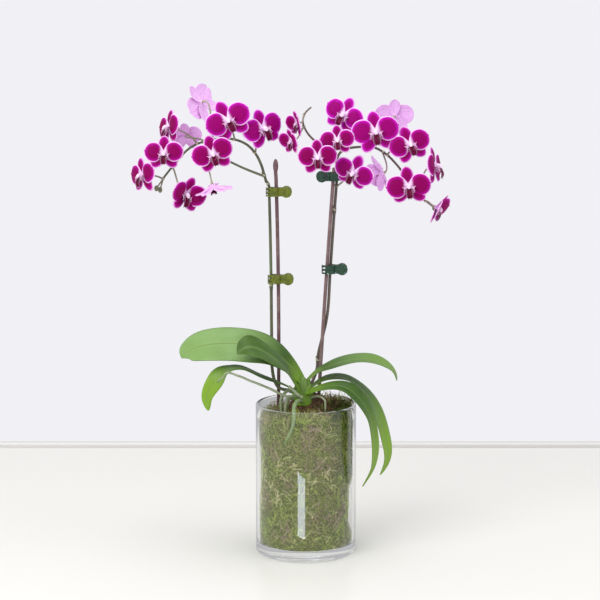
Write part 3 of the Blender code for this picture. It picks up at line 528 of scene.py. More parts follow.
class Look:
    """Material with a Principled shader. Its methods add the nodes that feed the shader."""

    def __init__(self, name, **plain):
        """Plain numbers go straight onto the shader's own sockets."""
        self.material = bpy.data.materials.new(name)
        self.material.use_nodes = True
        self.tree = self.material.node_tree
        self.shader = self.tree.nodes["Principled BSDF"]
        for key, value in plain.items():
            link_or_set(self.tree, self.shader.inputs[key.replace("_", " ")], value)

    def stored(self, name):
        """Surface value stored with the mesh."""
        return value_of(self.tree, name)

    def cloud(self, scale, low=0.3, high=0.7, detail=3.0):
        """Cloudy mask."""
        return use_group(self.tree, MOTTLING, Scale=scale, Detail=detail, Low=low, High=high)

    def lines(self, count, wander, low=0.35, high=0.65):
        """Mask of fine lines that run along the piece."""
        return use_group(self.tree, GROWTH_LINES, Count=count, Wander=wander, Low=low, High=high)

    def times(self, mask, amount, clamp=False):
        """Mask made weaker by an amount."""
        return reckon(self.tree, "MULTIPLY", mask, amount, clamp)

    def plus(self, first, second, amount):
        """First mask and an amount of the second."""
        return reckon(self.tree, "ADD", first, self.times(second, amount))

    def span(self, value, low, high, bottom=0.0, top=1.0):
        """Mask moved smoothly from one range to another."""
        return span_of(self.tree, value, low, high, bottom, top)

    def layers(self, colour, *coats):
        """Colour under coats, each given as its mask, its amount and its colour."""
        for mask, amount, coat in coats:
            made = add_node(self.tree, "ShaderNodeMix", data_type="RGBA")
            link_or_set(self.tree, made.inputs[0], mask if amount == 1 else self.times(mask, amount))
            link_or_set(self.tree, made.inputs[6], colour)
            link_or_set(self.tree, made.inputs[7], coat)
            colour = made.outputs[2]
        return colour

    def finish(self, colour, mask=None, smoothest=0.0, roughest=0.0, relief=None):
        """Feeds the colour, a roughness between two values by a mask, and a relief given as its
        height, grain scale, grain, strength and depth."""
        link_or_set(self.tree, self.shader.inputs["Base Color"], colour)
        if mask is not None:
            rough = self.span(mask, 0.0, 1.0, smoothest, roughest)
            self.tree.links.new(rough, self.shader.inputs["Roughness"])
        if relief is not None:
            names = ("Height", "Grain_Scale", "Grain", "Strength", "Depth")
            normal = use_group(self.tree, SKIN_RELIEF, **dict(zip(names, relief)))
            self.tree.links.new(normal, self.shader.inputs["Normal"])
        return self.material


# ---------------------------------------------------------------- materials
def petal_look():
    """Crimson to violet petals with a pale edge, a pale throat and a pale veined back."""
    look = Look("petal_velvet", Specular_IOR_Level=0.06)
    inward, violet = look.stored("inward"), look.stored("tint")
    veins, back_veins = look.lines(11.0, 1.5), look.lines(7.0, 1.2, 0.45, 0.62)
    cloud = look.cloud(260.0)
    deep = look.layers((0.25, 0.0003, 0.085), (violet, 1, (0.37, 0.0006, 0.210)))
    outer = look.layers((0.49, 0.0015, 0.310), (violet, 1, (0.72, 0.0100, 0.700)))
    middle = look.span(look.plus(inward, cloud, 0.8), 0.8, 5.0)
    rim = look.span(look.plus(inward, veins, -0.35), 0.25, 1.25, 1.0, 0.0)
    rim = look.times(rim, look.stored("edging"), clamp=True)
    throat = look.span(look.plus(look.stored("along"), veins, -0.05), 0.06, 0.22, 1.0, 0.0)
    front = look.layers(outer, (middle, 1, deep), (veins, 0.30, (0.20, 0.0, 0.05)),
                        (rim, 1, (1.0, 0.66, 1.0)), (throat, 1, (0.95, 0.74, 1.0)))
    back = look.layers((0.95, 0.58, 1.0), (back_veins, 0.40, (0.70, 0.22, 0.72)),
                       (cloud, 0.25, (1.0, 0.76, 1.0)))
    colour = look.layers(front, (look.stored("side"), 1, back))
    return look.finish(colour, cloud, 0.42, 0.56, (veins, 1500.0, 0.5, 0.35, 0.0002))


def lip_look():
    """Dark lip, pale column and side lobes with thin stripes, yellow callus."""
    look = Look("lip_and_column", Specular_IOR_Level=0.12)
    cloud = look.cloud(500.0, 0.35)
    streaks = look.times(look.lines(6.0, 1.0, 0.48, 0.56), look.stored("striped"))
    dark = look.layers((0.075, 0.0003, 0.018), (cloud, 1, (0.19, 0.0008, 0.060)))
    colour = look.layers((1.0, 0.86, 1.0), (cloud, 1, (0.90, 0.58, 0.98)),
                         (streaks, 1, (0.42, 0.02, 0.20)), (look.stored("maroon"), 1, dark),
                         (look.stored("yellow"), 1, (0.85, 0.60, 0.12)))
    return look.finish(colour, cloud, 0.30, 0.45, (cloud, 2000.0, 0.5, 0.3, 0.00015))


def leaf_look():
    """Thick glossy leaf: midrib, fine parallel veins, pale underside, yellower towards its end. The
    upper side is painted shade, lit by painted light and sheen where its light value is high.
    """
    look = Look("leaf_skin", Specular_IOR_Level=0.32)
    cloud, veins = look.cloud(45.0), look.lines(34.0, 1.2, 0.3, 0.7)
    young = look.times(look.stored("young"), 0.85)
    from_midrib = reckon(look.tree, "ABSOLUTE", look.stored("across"))
    midrib = look.span(from_midrib, 0.012, 0.055, 0.55, 0.0)
    beside = look.span(from_midrib, 0.03, 0.16, 0.22, 0.0)
    rim = look.span(from_midrib, 0.965, 1.0, 0.0, 0.55)
    # Upper side: a dark painted shade, with painted light and sheen laid over it by the stored light
    # value.
    upper = look.layers(
        (0.018, 0.070, 0.003), (look.stored("light"), 1, (0.25, 0.42, 0.150)),
        (cloud, 0.35, (0.11, 0.235, 0.020)), (veins, 0.16, (0.33, 0.50, 0.13)),
        (young, 1, (0.25, 0.45, 0.028)), (midrib, 1, (0.060, 0.13, 0.020)),
        (beside, 1, (0.34, 0.48, 0.14)), (rim, 1, (0.05, 0.10, 0.015)))
    under = look.layers((0.120, 0.220, 0.040), (young, 1, (0.26, 0.44, 0.040)),
                        (veins, 0.2, (0.20, 0.30, 0.10)))
    colour = look.layers(upper, (look.stored("side"), 1, under))
    return look.finish(colour, cloud, 0.32, 0.46, (veins, 700.0, 0.6, 0.22, 0.0003))


def root_look():
    """Silvery skin of an aerial root, green at its tip and where it is wet."""
    look = Look("root_skin", Specular_IOR_Level=0.3)
    cloud, lines = look.cloud(180.0, 0.35, 0.65), look.lines(5.0, 9.0)
    colour = look.layers((0.42, 0.46, 0.33), (cloud, 1, (0.27, 0.34, 0.17)),
                         (lines, 0.35, (0.62, 0.63, 0.52)),
                         (look.stored("green"), 1, (0.15, 0.27, 0.06)))
    return look.finish(colour, cloud, 0.6, 0.8, (lines, 900.0, 0.8, 0.5, 0.0004))


def stem_look(name, base, shade, stalk):
    """Woody green stem with long streaks. It is paler where it is a flower stalk."""
    look = Look(name, Specular_IOR_Level=0.45)
    cloud, lines = look.cloud(70.0, 0.35, 0.65), look.lines(3.0, 40.0)
    paler = tuple(min(1.0, 1.5 * channel) for channel in base)
    colour = look.layers(base, (cloud, 1, shade), (lines, 0.4, paler),
                         (look.stored("stalk"), 1, stalk),
                         (look.stored("bract"), 1, (0.52, 0.50, 0.36)))
    return look.finish(colour, cloud, 0.42, 0.58, (lines, 1200.0, 0.4, 0.3, 0.0003))


def stake_look(name, base, worn):
    """Painted or stained rod with faint wear."""
    look = Look(name, Specular_IOR_Level=0.5)
    cloud, lines = look.cloud(120.0, 0.4), look.lines(2.5, 30.0)
    darker = tuple(0.55 * channel for channel in base)
    colour = look.layers(base, (cloud, 1, worn), (lines, 0.25, darker))
    return look.finish(colour, cloud, 0.32, 0.5, (lines, 1500.0, 0.4, 0.25, 0.0002))


def clip_look(name, base, deep):
    """Clear tinted plastic of a claw clip, with a faint moulded skin and scuffs."""
    look = Look(name, Specular_IOR_Level=0.55, IOR=1.49, Transmission_Weight=0.35,
                Coat_Weight=0.4, Coat_Roughness=0.08)
    cloud, scuffs = look.cloud(300.0, 0.35), look.cloud(1600.0, 0.55, 0.75, 4.0)
    colour = look.layers(base, (cloud, 1, deep))
    return look.finish(colour, scuffs, 0.16, 0.38, (cloud, 900.0, 0.3, 0.2, 0.0002))


def steel_look():
    """Zinc-plated spring wire."""
    look = Look("plated_wire", Metallic=1.0)
    cloud = look.cloud(900.0)
    colour = look.layers((0.62, 0.63, 0.65), (cloud, 1, (0.42, 0.42, 0.43)))
    return look.finish(colour, cloud, 0.22, 0.4)


def moss_look():
    """Moss fibres: every fibre keeps its own share of green, straw, brown and painted shade."""
    look = Look("moss_fibres", Specular_IOR_Level=0.2)
    cloud = look.cloud(400.0)
    # shade is painted shade: dark colour for fibres deep in the moss, in a strip at the right front and
    # in clumps.
    colour = look.layers((0.32, 0.46, 0.040), (cloud, 1, (0.62, 0.70, 0.16)),
                         (look.stored("straw"), 1, (0.86, 0.80, 0.42)),
                         (look.stored("brown"), 1, (0.55, 0.37, 0.30)),
                         (look.stored("shade"), 1, (0.060, 0.090, 0.014)))
    return look.finish(colour, cloud, 0.75, 0.95)


def packed_look(name, gloss, base, patches_coat, fibres_coat, rough, relief):
    """Rough packed stuff in patches, with fibres over them. A coat is its mask, amount, colour."""
    look = Look(name, Specular_IOR_Level=gloss)
    (patch_mask, patch_colour), (fibre_mask, amount, fibre_colour) = patches_coat, fibres_coat
    patch, fibres = look.cloud(*patch_mask), look.cloud(*fibre_mask)
    colour = look.layers(base, (patch, 1, patch_colour), (fibres, amount, fibre_colour))
    return look.finish(colour, fibres, *rough, (fibres, *relief))


def glass_look():
    """Clear glass with the faintest haze, which lets the lamps through."""
    look = Look("clear_glass", Transmission_Weight=1.0, IOR=1.46, Roughness=0.0, Metallic=0.0)
    tree = look.tree
    look.finish(look.layers((0.985, 0.995, 0.99), (look.cloud(25.0, 0.4, 0.8), 1,
                                                   (0.96, 0.98, 0.975))))
    ray = add_node(tree, "ShaderNodeLightPath")
    passing = reckon(tree, "MAXIMUM", ray.outputs["Is Shadow Ray"], ray.outputs["Is Diffuse Ray"])
    deep = reckon(tree, "GREATER_THAN", ray.outputs["Ray Depth"], 5.0)
    passing = reckon(tree, "MAXIMUM", passing, deep)
    through = add_node(tree, "ShaderNodeBsdfTransparent", {0: (0.96, 0.975, 0.97)})
    both = add_node(tree, "ShaderNodeMixShader", {0: passing})
    tree.links.new(look.shader.outputs[0], both.inputs[1])
    tree.links.new(through.outputs[0], both.inputs[2])
    tree.links.new(both.outputs[0], tree.nodes["Material Output"].inputs["Surface"])
    return look.material


def table_look(name, light, dark):
    """Pale lacquered board."""
    look = Look(name, Specular_IOR_Level=0.35)
    cloud = look.cloud(3.0)
    return look.finish(look.layers(light, (cloud, 1, dark)), cloud, 0.16, 0.22)


PETAL = petal_look()
LIP = lip_look()
LEAF = leaf_look()
ROOT = root_look()
STEM_LEFT = stem_look("stem_olive", (0.125, 0.150, 0.070), (0.085, 0.085, 0.055),
                      (0.50, 0.46, 0.34))
STEM_RIGHT = stem_look("stem_brown", (0.135, 0.100, 0.085), (0.10, 0.095, 0.065),
                       (0.50, 0.42, 0.34))
STAKE_LEFT = stake_look("stake_purple", (0.155, 0.075, 0.085), (0.24, 0.15, 0.15))
STAKE_RIGHT = stake_look("stake_rose_brown", (0.20, 0.12, 0.12), (0.28, 0.19, 0.18))
CLIP_OLIVE = clip_look("clip_olive", (0.24, 0.28, 0.015), (0.14, 0.18, 0.010))
CLIP_GREEN = clip_look("clip_green", (0.035, 0.115, 0.060), (0.015, 0.065, 0.038))
STEEL = steel_look()
MOSS = moss_look()
MOSS_CORE = packed_look(
    "moss_core", 0.1, (0.100, 0.140, 0.022), ((70.0, 0.4, 0.62, 4.0), (0.15, 0.105, 0.055)),
    ((700.0, 0.4, 0.6, 5.0), 1, (0.34, 0.38, 0.10)), (0.8, 0.95), (1500.0, 0.7, 0.9, 0.0012))
BARK = packed_look(
    "bark", 0.2, (0.16, 0.075, 0.035), ((160.0, 0.4, 0.6, 5.0), (0.060, 0.030, 0.020)),
    ((900.0, 0.45, 0.6, 5.0), 0.4, (0.36, 0.24, 0.14)), (0.7, 0.95), (1200.0, 0.7, 0.8, 0.0008))
GLASS = glass_look()
TABLE = table_look("cream_table", (0.925, 0.915, 0.865), (0.91, 0.90, 0.85))
# The ledge is darker than the table top: painted shade along the back edge of the table.
SHADED_LEDGE = table_look("shaded_ledge", (0.80, 0.79, 0.765), (0.785, 0.775, 0.75))


# ---------------------------------------------------------------- glass and moss
QUARTER_TURNS = [math.pi / 2 * step / 6 for step in range(7)]


def make_glass():
    """Glass cylinder: rounded rim, rounded inner corner and a slightly hollow underside."""
    outer = GLASS_RADIUS
    inner = GLASS_RADIUS - GLASS_WALL
    wall = GLASS_WALL / 2
    floor = GLASS_FLOOR
    corner = 0.0022
    foot = 0.0016
    profile = [(0.0, floor), (inner * 0.5, floor), (inner - corner, floor)]
    for turn in QUARTER_TURNS[1:]:
        profile.append((inner - corner + corner * math.sin(turn),
                        floor + corner * (1 - math.cos(turn))))
    for level in (0.3, 0.6, 0.9):
        profile.append((inner, floor + (RIM - floor) * level))
    for step in range(13):
        turn = math.pi * (1 - step / 12)
        profile.append((inner + wall + wall * math.cos(turn), RIM - wall * (1 - math.sin(turn))))
    for level in (0.9, 0.6, 0.3):
        profile.append((outer, RIM * level))
    for turn in QUARTER_TURNS:
        profile.append((outer - foot + foot * math.cos(turn), foot * (1 - math.sin(turn))))
    profile += [(outer * 0.86, 0.0), (outer * 0.80, 0.0006), (outer * 0.4, 0.0011), (0.0, 0.0012)]
    shell = Shell()
    add_turned(shell, profile, 160)
    add_piece("vase_glass", shell, GLASS, stands_for=["glass_vase"])


def moss_top(x, y):
    """Height of the moss surface, which lies lower at the left."""
    tilt = MOSS_SLOPE * x / GLASS_RADIUS + 0.4 * MOSS_SLOPE * y / GLASS_RADIUS
    lumps = 0.0010 * math.sin(150 * x + 1) * math.cos(190 * y)
    return RIM - MOSS_BELOW_RIM + tilt + lumps


def moss_reach(turn, height):
    """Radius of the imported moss: lumpy, and drawn in low at the right and under its top."""
    spot = Vector((math.cos(turn) * 2.2, math.sin(turn) * 2.2, height * 45))
    lumps = noise.noise(spot) * 0.6 + noise.noise(spot * 2.7 + Vector((5, 1, 2))) * 0.4
    reach = MOSS_RADIUS - 0.0007 + 0.0020 * lumps
    aside = math.cos(turn - math.radians(-12))
    low = float(smooth_step(0.012, 0.03, height) * (1 - smooth_step(0.062, 0.082, height)))
    hollow = 0.0048 * low * float(smooth_step(0.72, 0.97, aside))
    left = math.cos(turn - math.radians(186))
    hollow += 0.0030 * float(smooth_step(0.8, 1.0, left) * smooth_step(0.04, 0.07, height)
                             * (1 - smooth_step(0.10, 0.125, height)))
    return min(reach, MOSS_RADIUS - 0.0008) - hollow


def make_moss_core():
    """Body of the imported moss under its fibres."""
    rows, sides = 46, 96
    shell = Shell()
    base = MOSS_LOW.z + 0.0004
    points = []
    turns = circle(sides)
    for row in range(rows):
        share = row / (rows - 1)
        for turn in turns:
            if share < 0.72:
                level = share / 0.72
                top = moss_top(0.044 * math.cos(turn), 0.044 * math.sin(turn)) - 0.004
                height = base + (top - base) * level
                reach = moss_reach(turn, height) - 0.0028 * smooth_step(0.93, 1.0, level)
            else:
                inner = 1 - (share - 0.72) / 0.28 * 0.97
                reach = (moss_reach(turn, RIM - 0.02) - 0.0028) * inner
                x, y = reach * math.cos(turn), reach * math.sin(turn)
                bumps = noise.noise(Vector((x * 160, y * 160, 3))) * 0.0022
                height = moss_top(x, y) - 0.0028 * smooth_step(0.9, 1.0, inner) - 0.0018 + bumps
            points.append(around(turn, reach, height))
    points = np.array(points)
    centre_top = points[-sides:].mean(axis=0)
    points = np.concatenate([points, [(0, 0, base), centre_top]])
    shell.add(points, tube_faces(rows, sides))
    add_piece("moss_core", shell, MOSS_CORE, stands_for=["moss"])


def moss_mix(x, y, z, depth):
    """Shares of straw, brown and painted shade of a fibre at a place in the moss."""
    turn = math.atan2(y, x)
    spot = (x, y, z)
    broad = patches(spot, 38, (3, 7, 1))
    small = patches(spot, 120, (1, 2, 9))
    straw = 0.16 + 1.5 * broad + 1.1 * small + chance.normal(0, 0.28)
    brown = 0.16 - 2.8 * patches(spot, 60, (0, 0, 0)) + chance.normal(0, 0.22)
    front = -math.sin(turn)
    rim_patch = math.exp(-((x - 0.001) / 0.012) ** 2 - ((z - 0.123) / 0.013) ** 2) * (front > 0)
    brown += 1.8 * rim_patch
    # Painted shade: a strip at the right front, high in the moss, is darker and greener.
    shaded_strip = float(smooth_step(0.80, 0.90, math.cos(turn - math.radians(-24)))
                  * smooth_step(0.068, 0.085, z))
    clump = patches(spot, 170, (8, 2, 4))
    # Painted shade: more for fibres deep in the moss, in the shaded strip and in random clumps, less on
    # the brown patch.
    shade = (0.06 + 0.8 * depth + 0.75 * shaded_strip - 0.3 * rim_patch + 0.9 * clump
             + chance.normal(0, 0.22))
    straw -= 0.9 * shaded_strip + 0.5 * rim_patch
    brown -= 0.6 * shaded_strip
    return np.clip([straw, brown * 0.85, shade], 0.0, 1.0)


def fibre_route(start, heading, steps, step_length, curl, keep):
    """Wandering route of a fibre. keep moves each point back to where it may lie."""
    route = [np.array(start, float)]
    heading = unit(heading)
    for _ in range(steps):
        heading = unit(heading + chance.normal(0, curl, 3))
        route.append(keep(route[-1] + heading * step_length))
    return np.array(route)


def make_moss_fibres():
    """Fibres on the side of the moss, behind the glass, and tufts on its top."""
    side_shell = Shell(*MOSS_VALUES)
    limit = MOSS_RADIUS - 0.0002
    floor = MOSS_LOW.z + 0.0006

    def against_glass(point):
        turn = math.atan2(point[1], point[0])
        height = min(max(point[2], floor), moss_top(point[0], point[1]) + 0.001)
        reach = math.hypot(point[0], point[1])
        least = moss_reach(turn, height) - 0.0004
        reach = min(max(reach, least), min(limit, least + 0.0022))
        return around(turn, reach, height)

    for _ in range(SIDE_FIBRES):
        turn = chance.uniform(0, 2 * math.pi)
        height = chance.uniform(floor, RIM - 0.004)
        start = against_glass(around(turn, 0.046, height))
        tangent = np.array((-math.sin(turn), math.cos(turn), 0.0))
        heading = (tangent * chance.normal(0, 1) + np.array((0, 0, chance.normal(0, 1)))
                   + around(turn, 0.3, 0))
        route = fibre_route(start, heading, int(chance.integers(5, 9)),
                            chance.uniform(0.0009, 0.0017), 0.55, against_glass)
        middle = route[len(route) // 2]
        # How deep the fibre lies in the moss sets its painted shade.
        depth = max(0.0, 1 - (math.hypot(middle[0], middle[1])
                              - moss_reach(turn, middle[2])) / 0.0014)
        straw, brown, shade = moss_mix(*middle, 0.45 * depth)
        radius = chance.uniform(0.00018, 0.00043)
        radii = radius * np.linspace(1.0, 0.35, len(route))
        add_tube(side_shell, route, radii, 3, straw=straw, brown=brown, shade=shade)
    add_piece("moss_side_fibres", side_shell, MOSS)

    top_shell = Shell(*MOSS_VALUES)

    def over_top(point):
        reach = math.hypot(point[0], point[1])
        if reach > limit - 0.0006:
            point[:2] *= (limit - 0.0006) / reach
        return point

    for _ in range(TOP_TUFTS):
        turn = chance.uniform(0, 2 * math.pi)
        reach = 0.0455 * math.sqrt(chance.uniform(0.02, 1.0))
        x, y = reach * math.cos(turn), reach * math.sin(turn)
        start = (x, y, moss_top(x, y) - 0.003)
        heading = chance.normal(0, 0.8, 3) + np.array((0, 0, 0.9))
        taller = int(round(5 * float(smooth_step(0.004, 0.03, x) * smooth_step(-0.02, 0.01, y))))
        route = fibre_route(start, heading, int(chance.integers(4, 7)) + taller,
                            chance.uniform(0.0009, 0.0018), 0.5, over_top)
        # Tufts get a fixed share of painted shade for their depth.
        straw, brown, shade = moss_mix(x, y, start[2], 0.25)
        right = float(smooth_step(0.0, 0.02, x))
        brown = min(1.0, brown + 0.5 * right * chance.uniform(0, 1))
        radii = chance.uniform(0.00024, 0.00046) * np.linspace(1.0, 0.4, len(route))
        add_tube(top_shell, route, radii, 3, straw=straw, brown=brown, shade=shade)
    add_piece("moss_top_tufts", top_shell, MOSS)


def make_moss_sprigs():
    """Feathery sprigs with small leaflets, pressed against the glass."""
    shell = Shell(*MOSS_VALUES)
    limit = MOSS_RADIUS - 0.0002
    floor = MOSS_LOW.z + 0.002

    def against_glass(point):
        turn = math.atan2(point[1], point[0])
        height = min(max(point[2], floor), RIM - 0.006)
        reach = min(limit - 0.0002, moss_reach(turn, height) + 0.0018)
        return around(turn, reach, height)

    for _ in range(SPRIGS):
        turn = chance.uniform(0, 2 * math.pi)
        height = chance.uniform(floor, RIM - 0.012)
        start = against_glass(around(turn, 1.0, height))
        tangent = np.array((-math.sin(turn), math.cos(turn), 0.0))
        heading = tangent * chance.normal(0, 1) + np.array((0, 0, chance.normal(0.3, 1)))
        route = fibre_route(start, heading, 8, chance.uniform(0.0010, 0.0016), 0.28, against_glass)
        straw, brown, shade = moss_mix(*route[4], 0.0)
        # Sprigs pressed against the glass get less painted shade.
        values = {"straw": min(1.0, straw + 0.1), "brown": brown * 0.5, "shade": shade * 0.6}
        add_tube(shell, route, np.linspace(0.00022, 0.00010, len(route)), 3, **values)
        run = unit(np.gradient(route, axis=0))
        for spot, way in zip(route[1:], run[1:]):
            outward = unit(np.array((spot[0], spot[1], 0.0)))
            beside = np.cross(way, outward)
            for hand in (-1, 1):
                length = chance.uniform(0.0012, 0.0024)
                tip = spot + (beside * hand * 0.8 + way * 0.6) * length
                tip[:2] *= min(1.0, limit / math.hypot(tip[0], tip[1]))
                wide = way * 0.00034
                leaflet = [spot - wide, spot + wide, spot - outward * 0.0002, tip]
                shell.add(leaflet, [[(0, 2, 1), (0, 1, 3), (1, 2, 3), (2, 0, 3)]], **values)
    add_piece("moss_sprigs", shell, MOSS)


def make_bark():
    """Root ball inside the moss, and the bark chips and dry roots that show above it."""
    low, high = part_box("root_ball")
    centre = np.array((low + high) / 2)
    radii = np.array((high - low) / 2) * 0.97
    ball = Shell()
    add_ball(ball, centre, radii, 24, 36)
    ball.points[0] = roughened(ball.points[0], 0.006, 0.0012, 4.0)
    add_piece("root_ball_bark", ball, BARK, stands_for=["root_ball"])
    chips = Shell()
    spots = [(12, -10, 1), (16, -4, 3), (21, -12, 1), (25, -2, 3), (29, -12, 1), (19, 6, 4),
             (27, 8, 4), (33, 0, 2), (13, 3, 4), (34, 10, 2), (23, -20, -2), (14, -19, -3)]
    for index, (x, y, rise) in enumerate(spots):
        turn = Matrix.Rotation(chance.uniform(0, 3), 4, Vector(chance.normal(0, 1, 3)))
        size = np.array((chance.uniform(3.5, 6.0), chance.uniform(1.6, 2.8),
                         chance.uniform(1.0, 1.8))) * MM
        base = moss_top(x * MM, y * MM)
        add_ball(chips, (0, 0, 0), size, 9, 12, turn)
        chips.points[-1] = (roughened(chips.points[-1], 0.0022, 0.0009, index * 3.0)
                            + np.array((x * MM, y * MM, base + rise * MM * 0.5)))
    for _ in range(DRY_ROOTS):
        x = chance.uniform(8, 36) * MM
        y = chance.uniform(-24, 14) * MM
        start = np.array((x, y, moss_top(x, y) - 0.001))
        route = fibre_route(start, chance.normal(0, 1, 3) + np.array((0, 0, 0.6)), 9, 0.0019, 0.4,
                            lambda point: np.array((point[0], point[1],
                                                    max(point[2], moss_top(x, y) - 0.002))))
        reach = np.hypot(route[:, 0], route[:, 1])
        route[:, :2] *= np.minimum(1.0, (MOSS_RADIUS - 0.001) / reach)[:, None]
        add_tube(chips, route, np.linspace(0.0006, 0.00035, len(route)), 7)
    add_piece("bark_chips", chips, BARK)


# ---------------------------------------------------------------- leaves, crown and roots
def leaf_width(t, point):
    """Share of the widest width at a place along the leaf."""
    base = 0.28 + 0.72 * math.sin(min(t / 0.5, 1.0) * math.pi / 2) ** 1.3
    tip = max(0.012, 1.0 - (max(0.0, t - 0.58) / 0.422) ** 2)
    return base * tip ** point


def make_leaf(name, index):
    """Strap leaf along its route, folded at the midrib, thick in the middle, thin at the edge."""
    route, width, fold, bank_base, bank_tip, turn_start, turn_end, point, light, young = LEAVES[name]
    points = [place(spot) for spot in route]
    reach = points[-1] - points[0]
    level_side = unit(np.cross((reach[0], reach[1], 0.0), (0, 0, 1)))
    rows, columns = 72, 25
    steps = (1 - np.cos(np.linspace(0, 1, rows) * math.pi)) / 2 * 0.35 + np.linspace(0, 1, rows) * 0.65
    spine = curve(points, steps)
    sides = []
    for t in steps:
        run = unit(along(points, t + 0.02) - along(points, t - 0.02))
        side = unit(level_side - run * (level_side @ run))
        bank = math.radians(bank_base + (bank_tip - bank_base) * smooth_step(turn_start, turn_end, t))
        turned = Matrix.Rotation(-bank, 3, Vector(run)) @ Vector(side)
        sides.append(np.array(turned))
    half = np.array([width / 2 * MM * leaf_width(t, point) for t in steps])
    across = np.abs(np.linspace(-1, 1, columns))
    crease = np.sqrt(across ** 2 + 0.006) - math.sqrt(0.006)
    lift = np.outer(half * math.sin(math.radians(fold)), crease)
    signed = np.linspace(-1, 1, columns)
    waves = np.sin(steps * 9 + index)[:, None] * signed[None, :] ** 2 * 0.00055
    waves += np.sin(steps * 17 + 2 * index)[:, None] * (signed[None, :] ** 3) * 0.00030
    lift = lift + waves - 0.0009 * across[None, :] ** 4 * np.sin(steps * math.pi)[:, None]
    thick = np.outer(0.35 + 0.65 * np.sin(np.clip(steps * 1.05, 0, 1) * math.pi) ** 0.4,
                     0.00085 * (1 - 0.80 * across ** 1.6)) + 0.00008
    end = smooth_step(0.45, 0.8, steps)
    base = 1 - smooth_step(0.0, 0.22, steps)
    yellow = np.clip(young * end + 0.75 * base, 0, 1)[:, None]
    # Painted light and sheen: the upper side gets paler along the leaf by its light value.
    paler = (light * smooth_step(0.18, 0.58, steps))[:, None]
    shell = Shell(*LEAF_VALUES)
    add_strap(shell, spine, np.array(sides), half, lift, thick, columns, light=paler, young=yellow)
    add_piece(name + "_blade", shell, LEAF, stands_for=[name])


def make_crown():
    """Short stem wrapped in the clasping bases of the leaves."""
    centre = np.array((CROWN_LOW + CROWN_HIGH) / 2)
    low = CROWN_LOW.z
    shell = Shell(*LEAF_VALUES)
    profile = [(0.0, 27), (1.6, 26.2), (3.4, 24), (5.4, 20), (7.0, 15), (7.9, 10), (8.2, 5),
               (7.4, 1), (5.2, -2), (2.6, -3.4), (0.0, -4)]
    # light is the share of painted light on the upper side of the sheaths, as on the leaves.
    add_turned(shell, [(radius * MM, (height + 4) * MM) for radius, height in profile], 40,
               light=0.25, young=0.35)
    shell.points[-1] = shell.points[-1] + np.array((centre[0], centre[1], low))
    clasps = [(184, 9.4, 2.0, 15.0, 82), (2, 9.0, 3.0, 16.5, 78), (205, 8.3, 6.0, 19.0, 70),
              (-22, 8.0, 6.5, 19.5, 66), (165, 7.0, 10.0, 24.0, 62), (12, 6.6, 11.0, 24.5, 60),
              (262, 9.3, -1.0, 9.0, 60), (318, 9.5, -1.5, 7.0, 50), (90, 9.3, -1.0, 9.0, 64)]
    for facing, radius, bottom, top, spread in clasps:
        rows, columns = 18, 21
        t = np.linspace(0, 1, rows)[:, None]
        across = np.linspace(-1, 1, columns)[None, :]
        turn = math.radians(facing) + np.radians(spread) * across * (1 - 0.55 * t ** 1.5)
        ridge = 0.9 * np.exp(-(across / 0.16) ** 2) * (0.4 + 0.6 * t)
        out = radius * (1 - 0.10 * t) + 1.5 * np.sin(t * math.pi) * 0.5 + ridge - 0.8 * across ** 2 * t
        height = bottom + 4 + (top - bottom) * t * (1 - 0.22 * across ** 2)
        grid = np.stack([out * np.cos(turn), out * np.sin(turn), np.broadcast_to(height, out.shape)],
                        -1) * MM
        grid = grid + np.array((centre[0], centre[1], low))
        thick = np.full((rows, columns), 0.00045) * (1 - 0.6 * np.abs(across) ** 3)
        add_sheet(shell, grid, thick, t, across, light=0.35, young=0.35 + 0.5 * (1 - t))
    add_piece("crown_sheaths", shell, LEAF, stands_for=["crown"])


def make_root(name, seed):
    """Aerial root: its thickness wanders, and its skin is green towards the tip."""
    route, radius = ROOTS[name]
    points = [place(point) for point in route]
    radius = radius * MM
    inside = name == "root_front_glass"
    if inside:
        away = GLASS_RADIUS - GLASS_WALL - GAP - radius
        for degrees, height in GLASS_ROOT:
            turn = math.radians(degrees)
            points.append(around(turn, away, RIM + height * MM))
    rows = 14 * len(points)
    share = np.linspace(0, 1, rows)
    spine = curve(points, share)
    wander = np.array([noise.noise(Vector((t * 14, seed, 0))) for t in share])
    bend = np.array([noise.noise_vector(Vector((t * 9, seed, 5))) for t in share])
    if not inside:
        spine = spine + bend * 0.0009 * np.sin(share * math.pi)[:, None]
    thick = radius * (1 - 0.2 * share) * (1 + 0.16 * wander)
    thick *= 1 - 0.55 * smooth_step(0.93, 1.0, share)
    green = 0.15 + 0.7 * smooth_step(0.82, 1.0, share) + 0.45 * inside
    shell = Shell("along", "across", "green")
    add_tube(shell, spine, thick, 14, green=np.clip(green, 0, 1))
    add_piece(name + "_skin", shell, ROOT, stands_for=[name])


# ---------------------------------------------------------------- stakes and spikes
def stake_axis(stake, height):
    """Place of a stake's axis at a height above the rim."""
    foot, top, bow = stake
    t = (height - STAKE_FOOT) / (STAKE_TOP - STAKE_FOOT)
    x = (foot[0] + (top[0] - foot[0]) * t + bow * (1 - (2 * t - 1) ** 2)) * MM
    y = (foot[1] + (top[1] - foot[1]) * t) * MM
    return np.array((x, y, RIM + height))


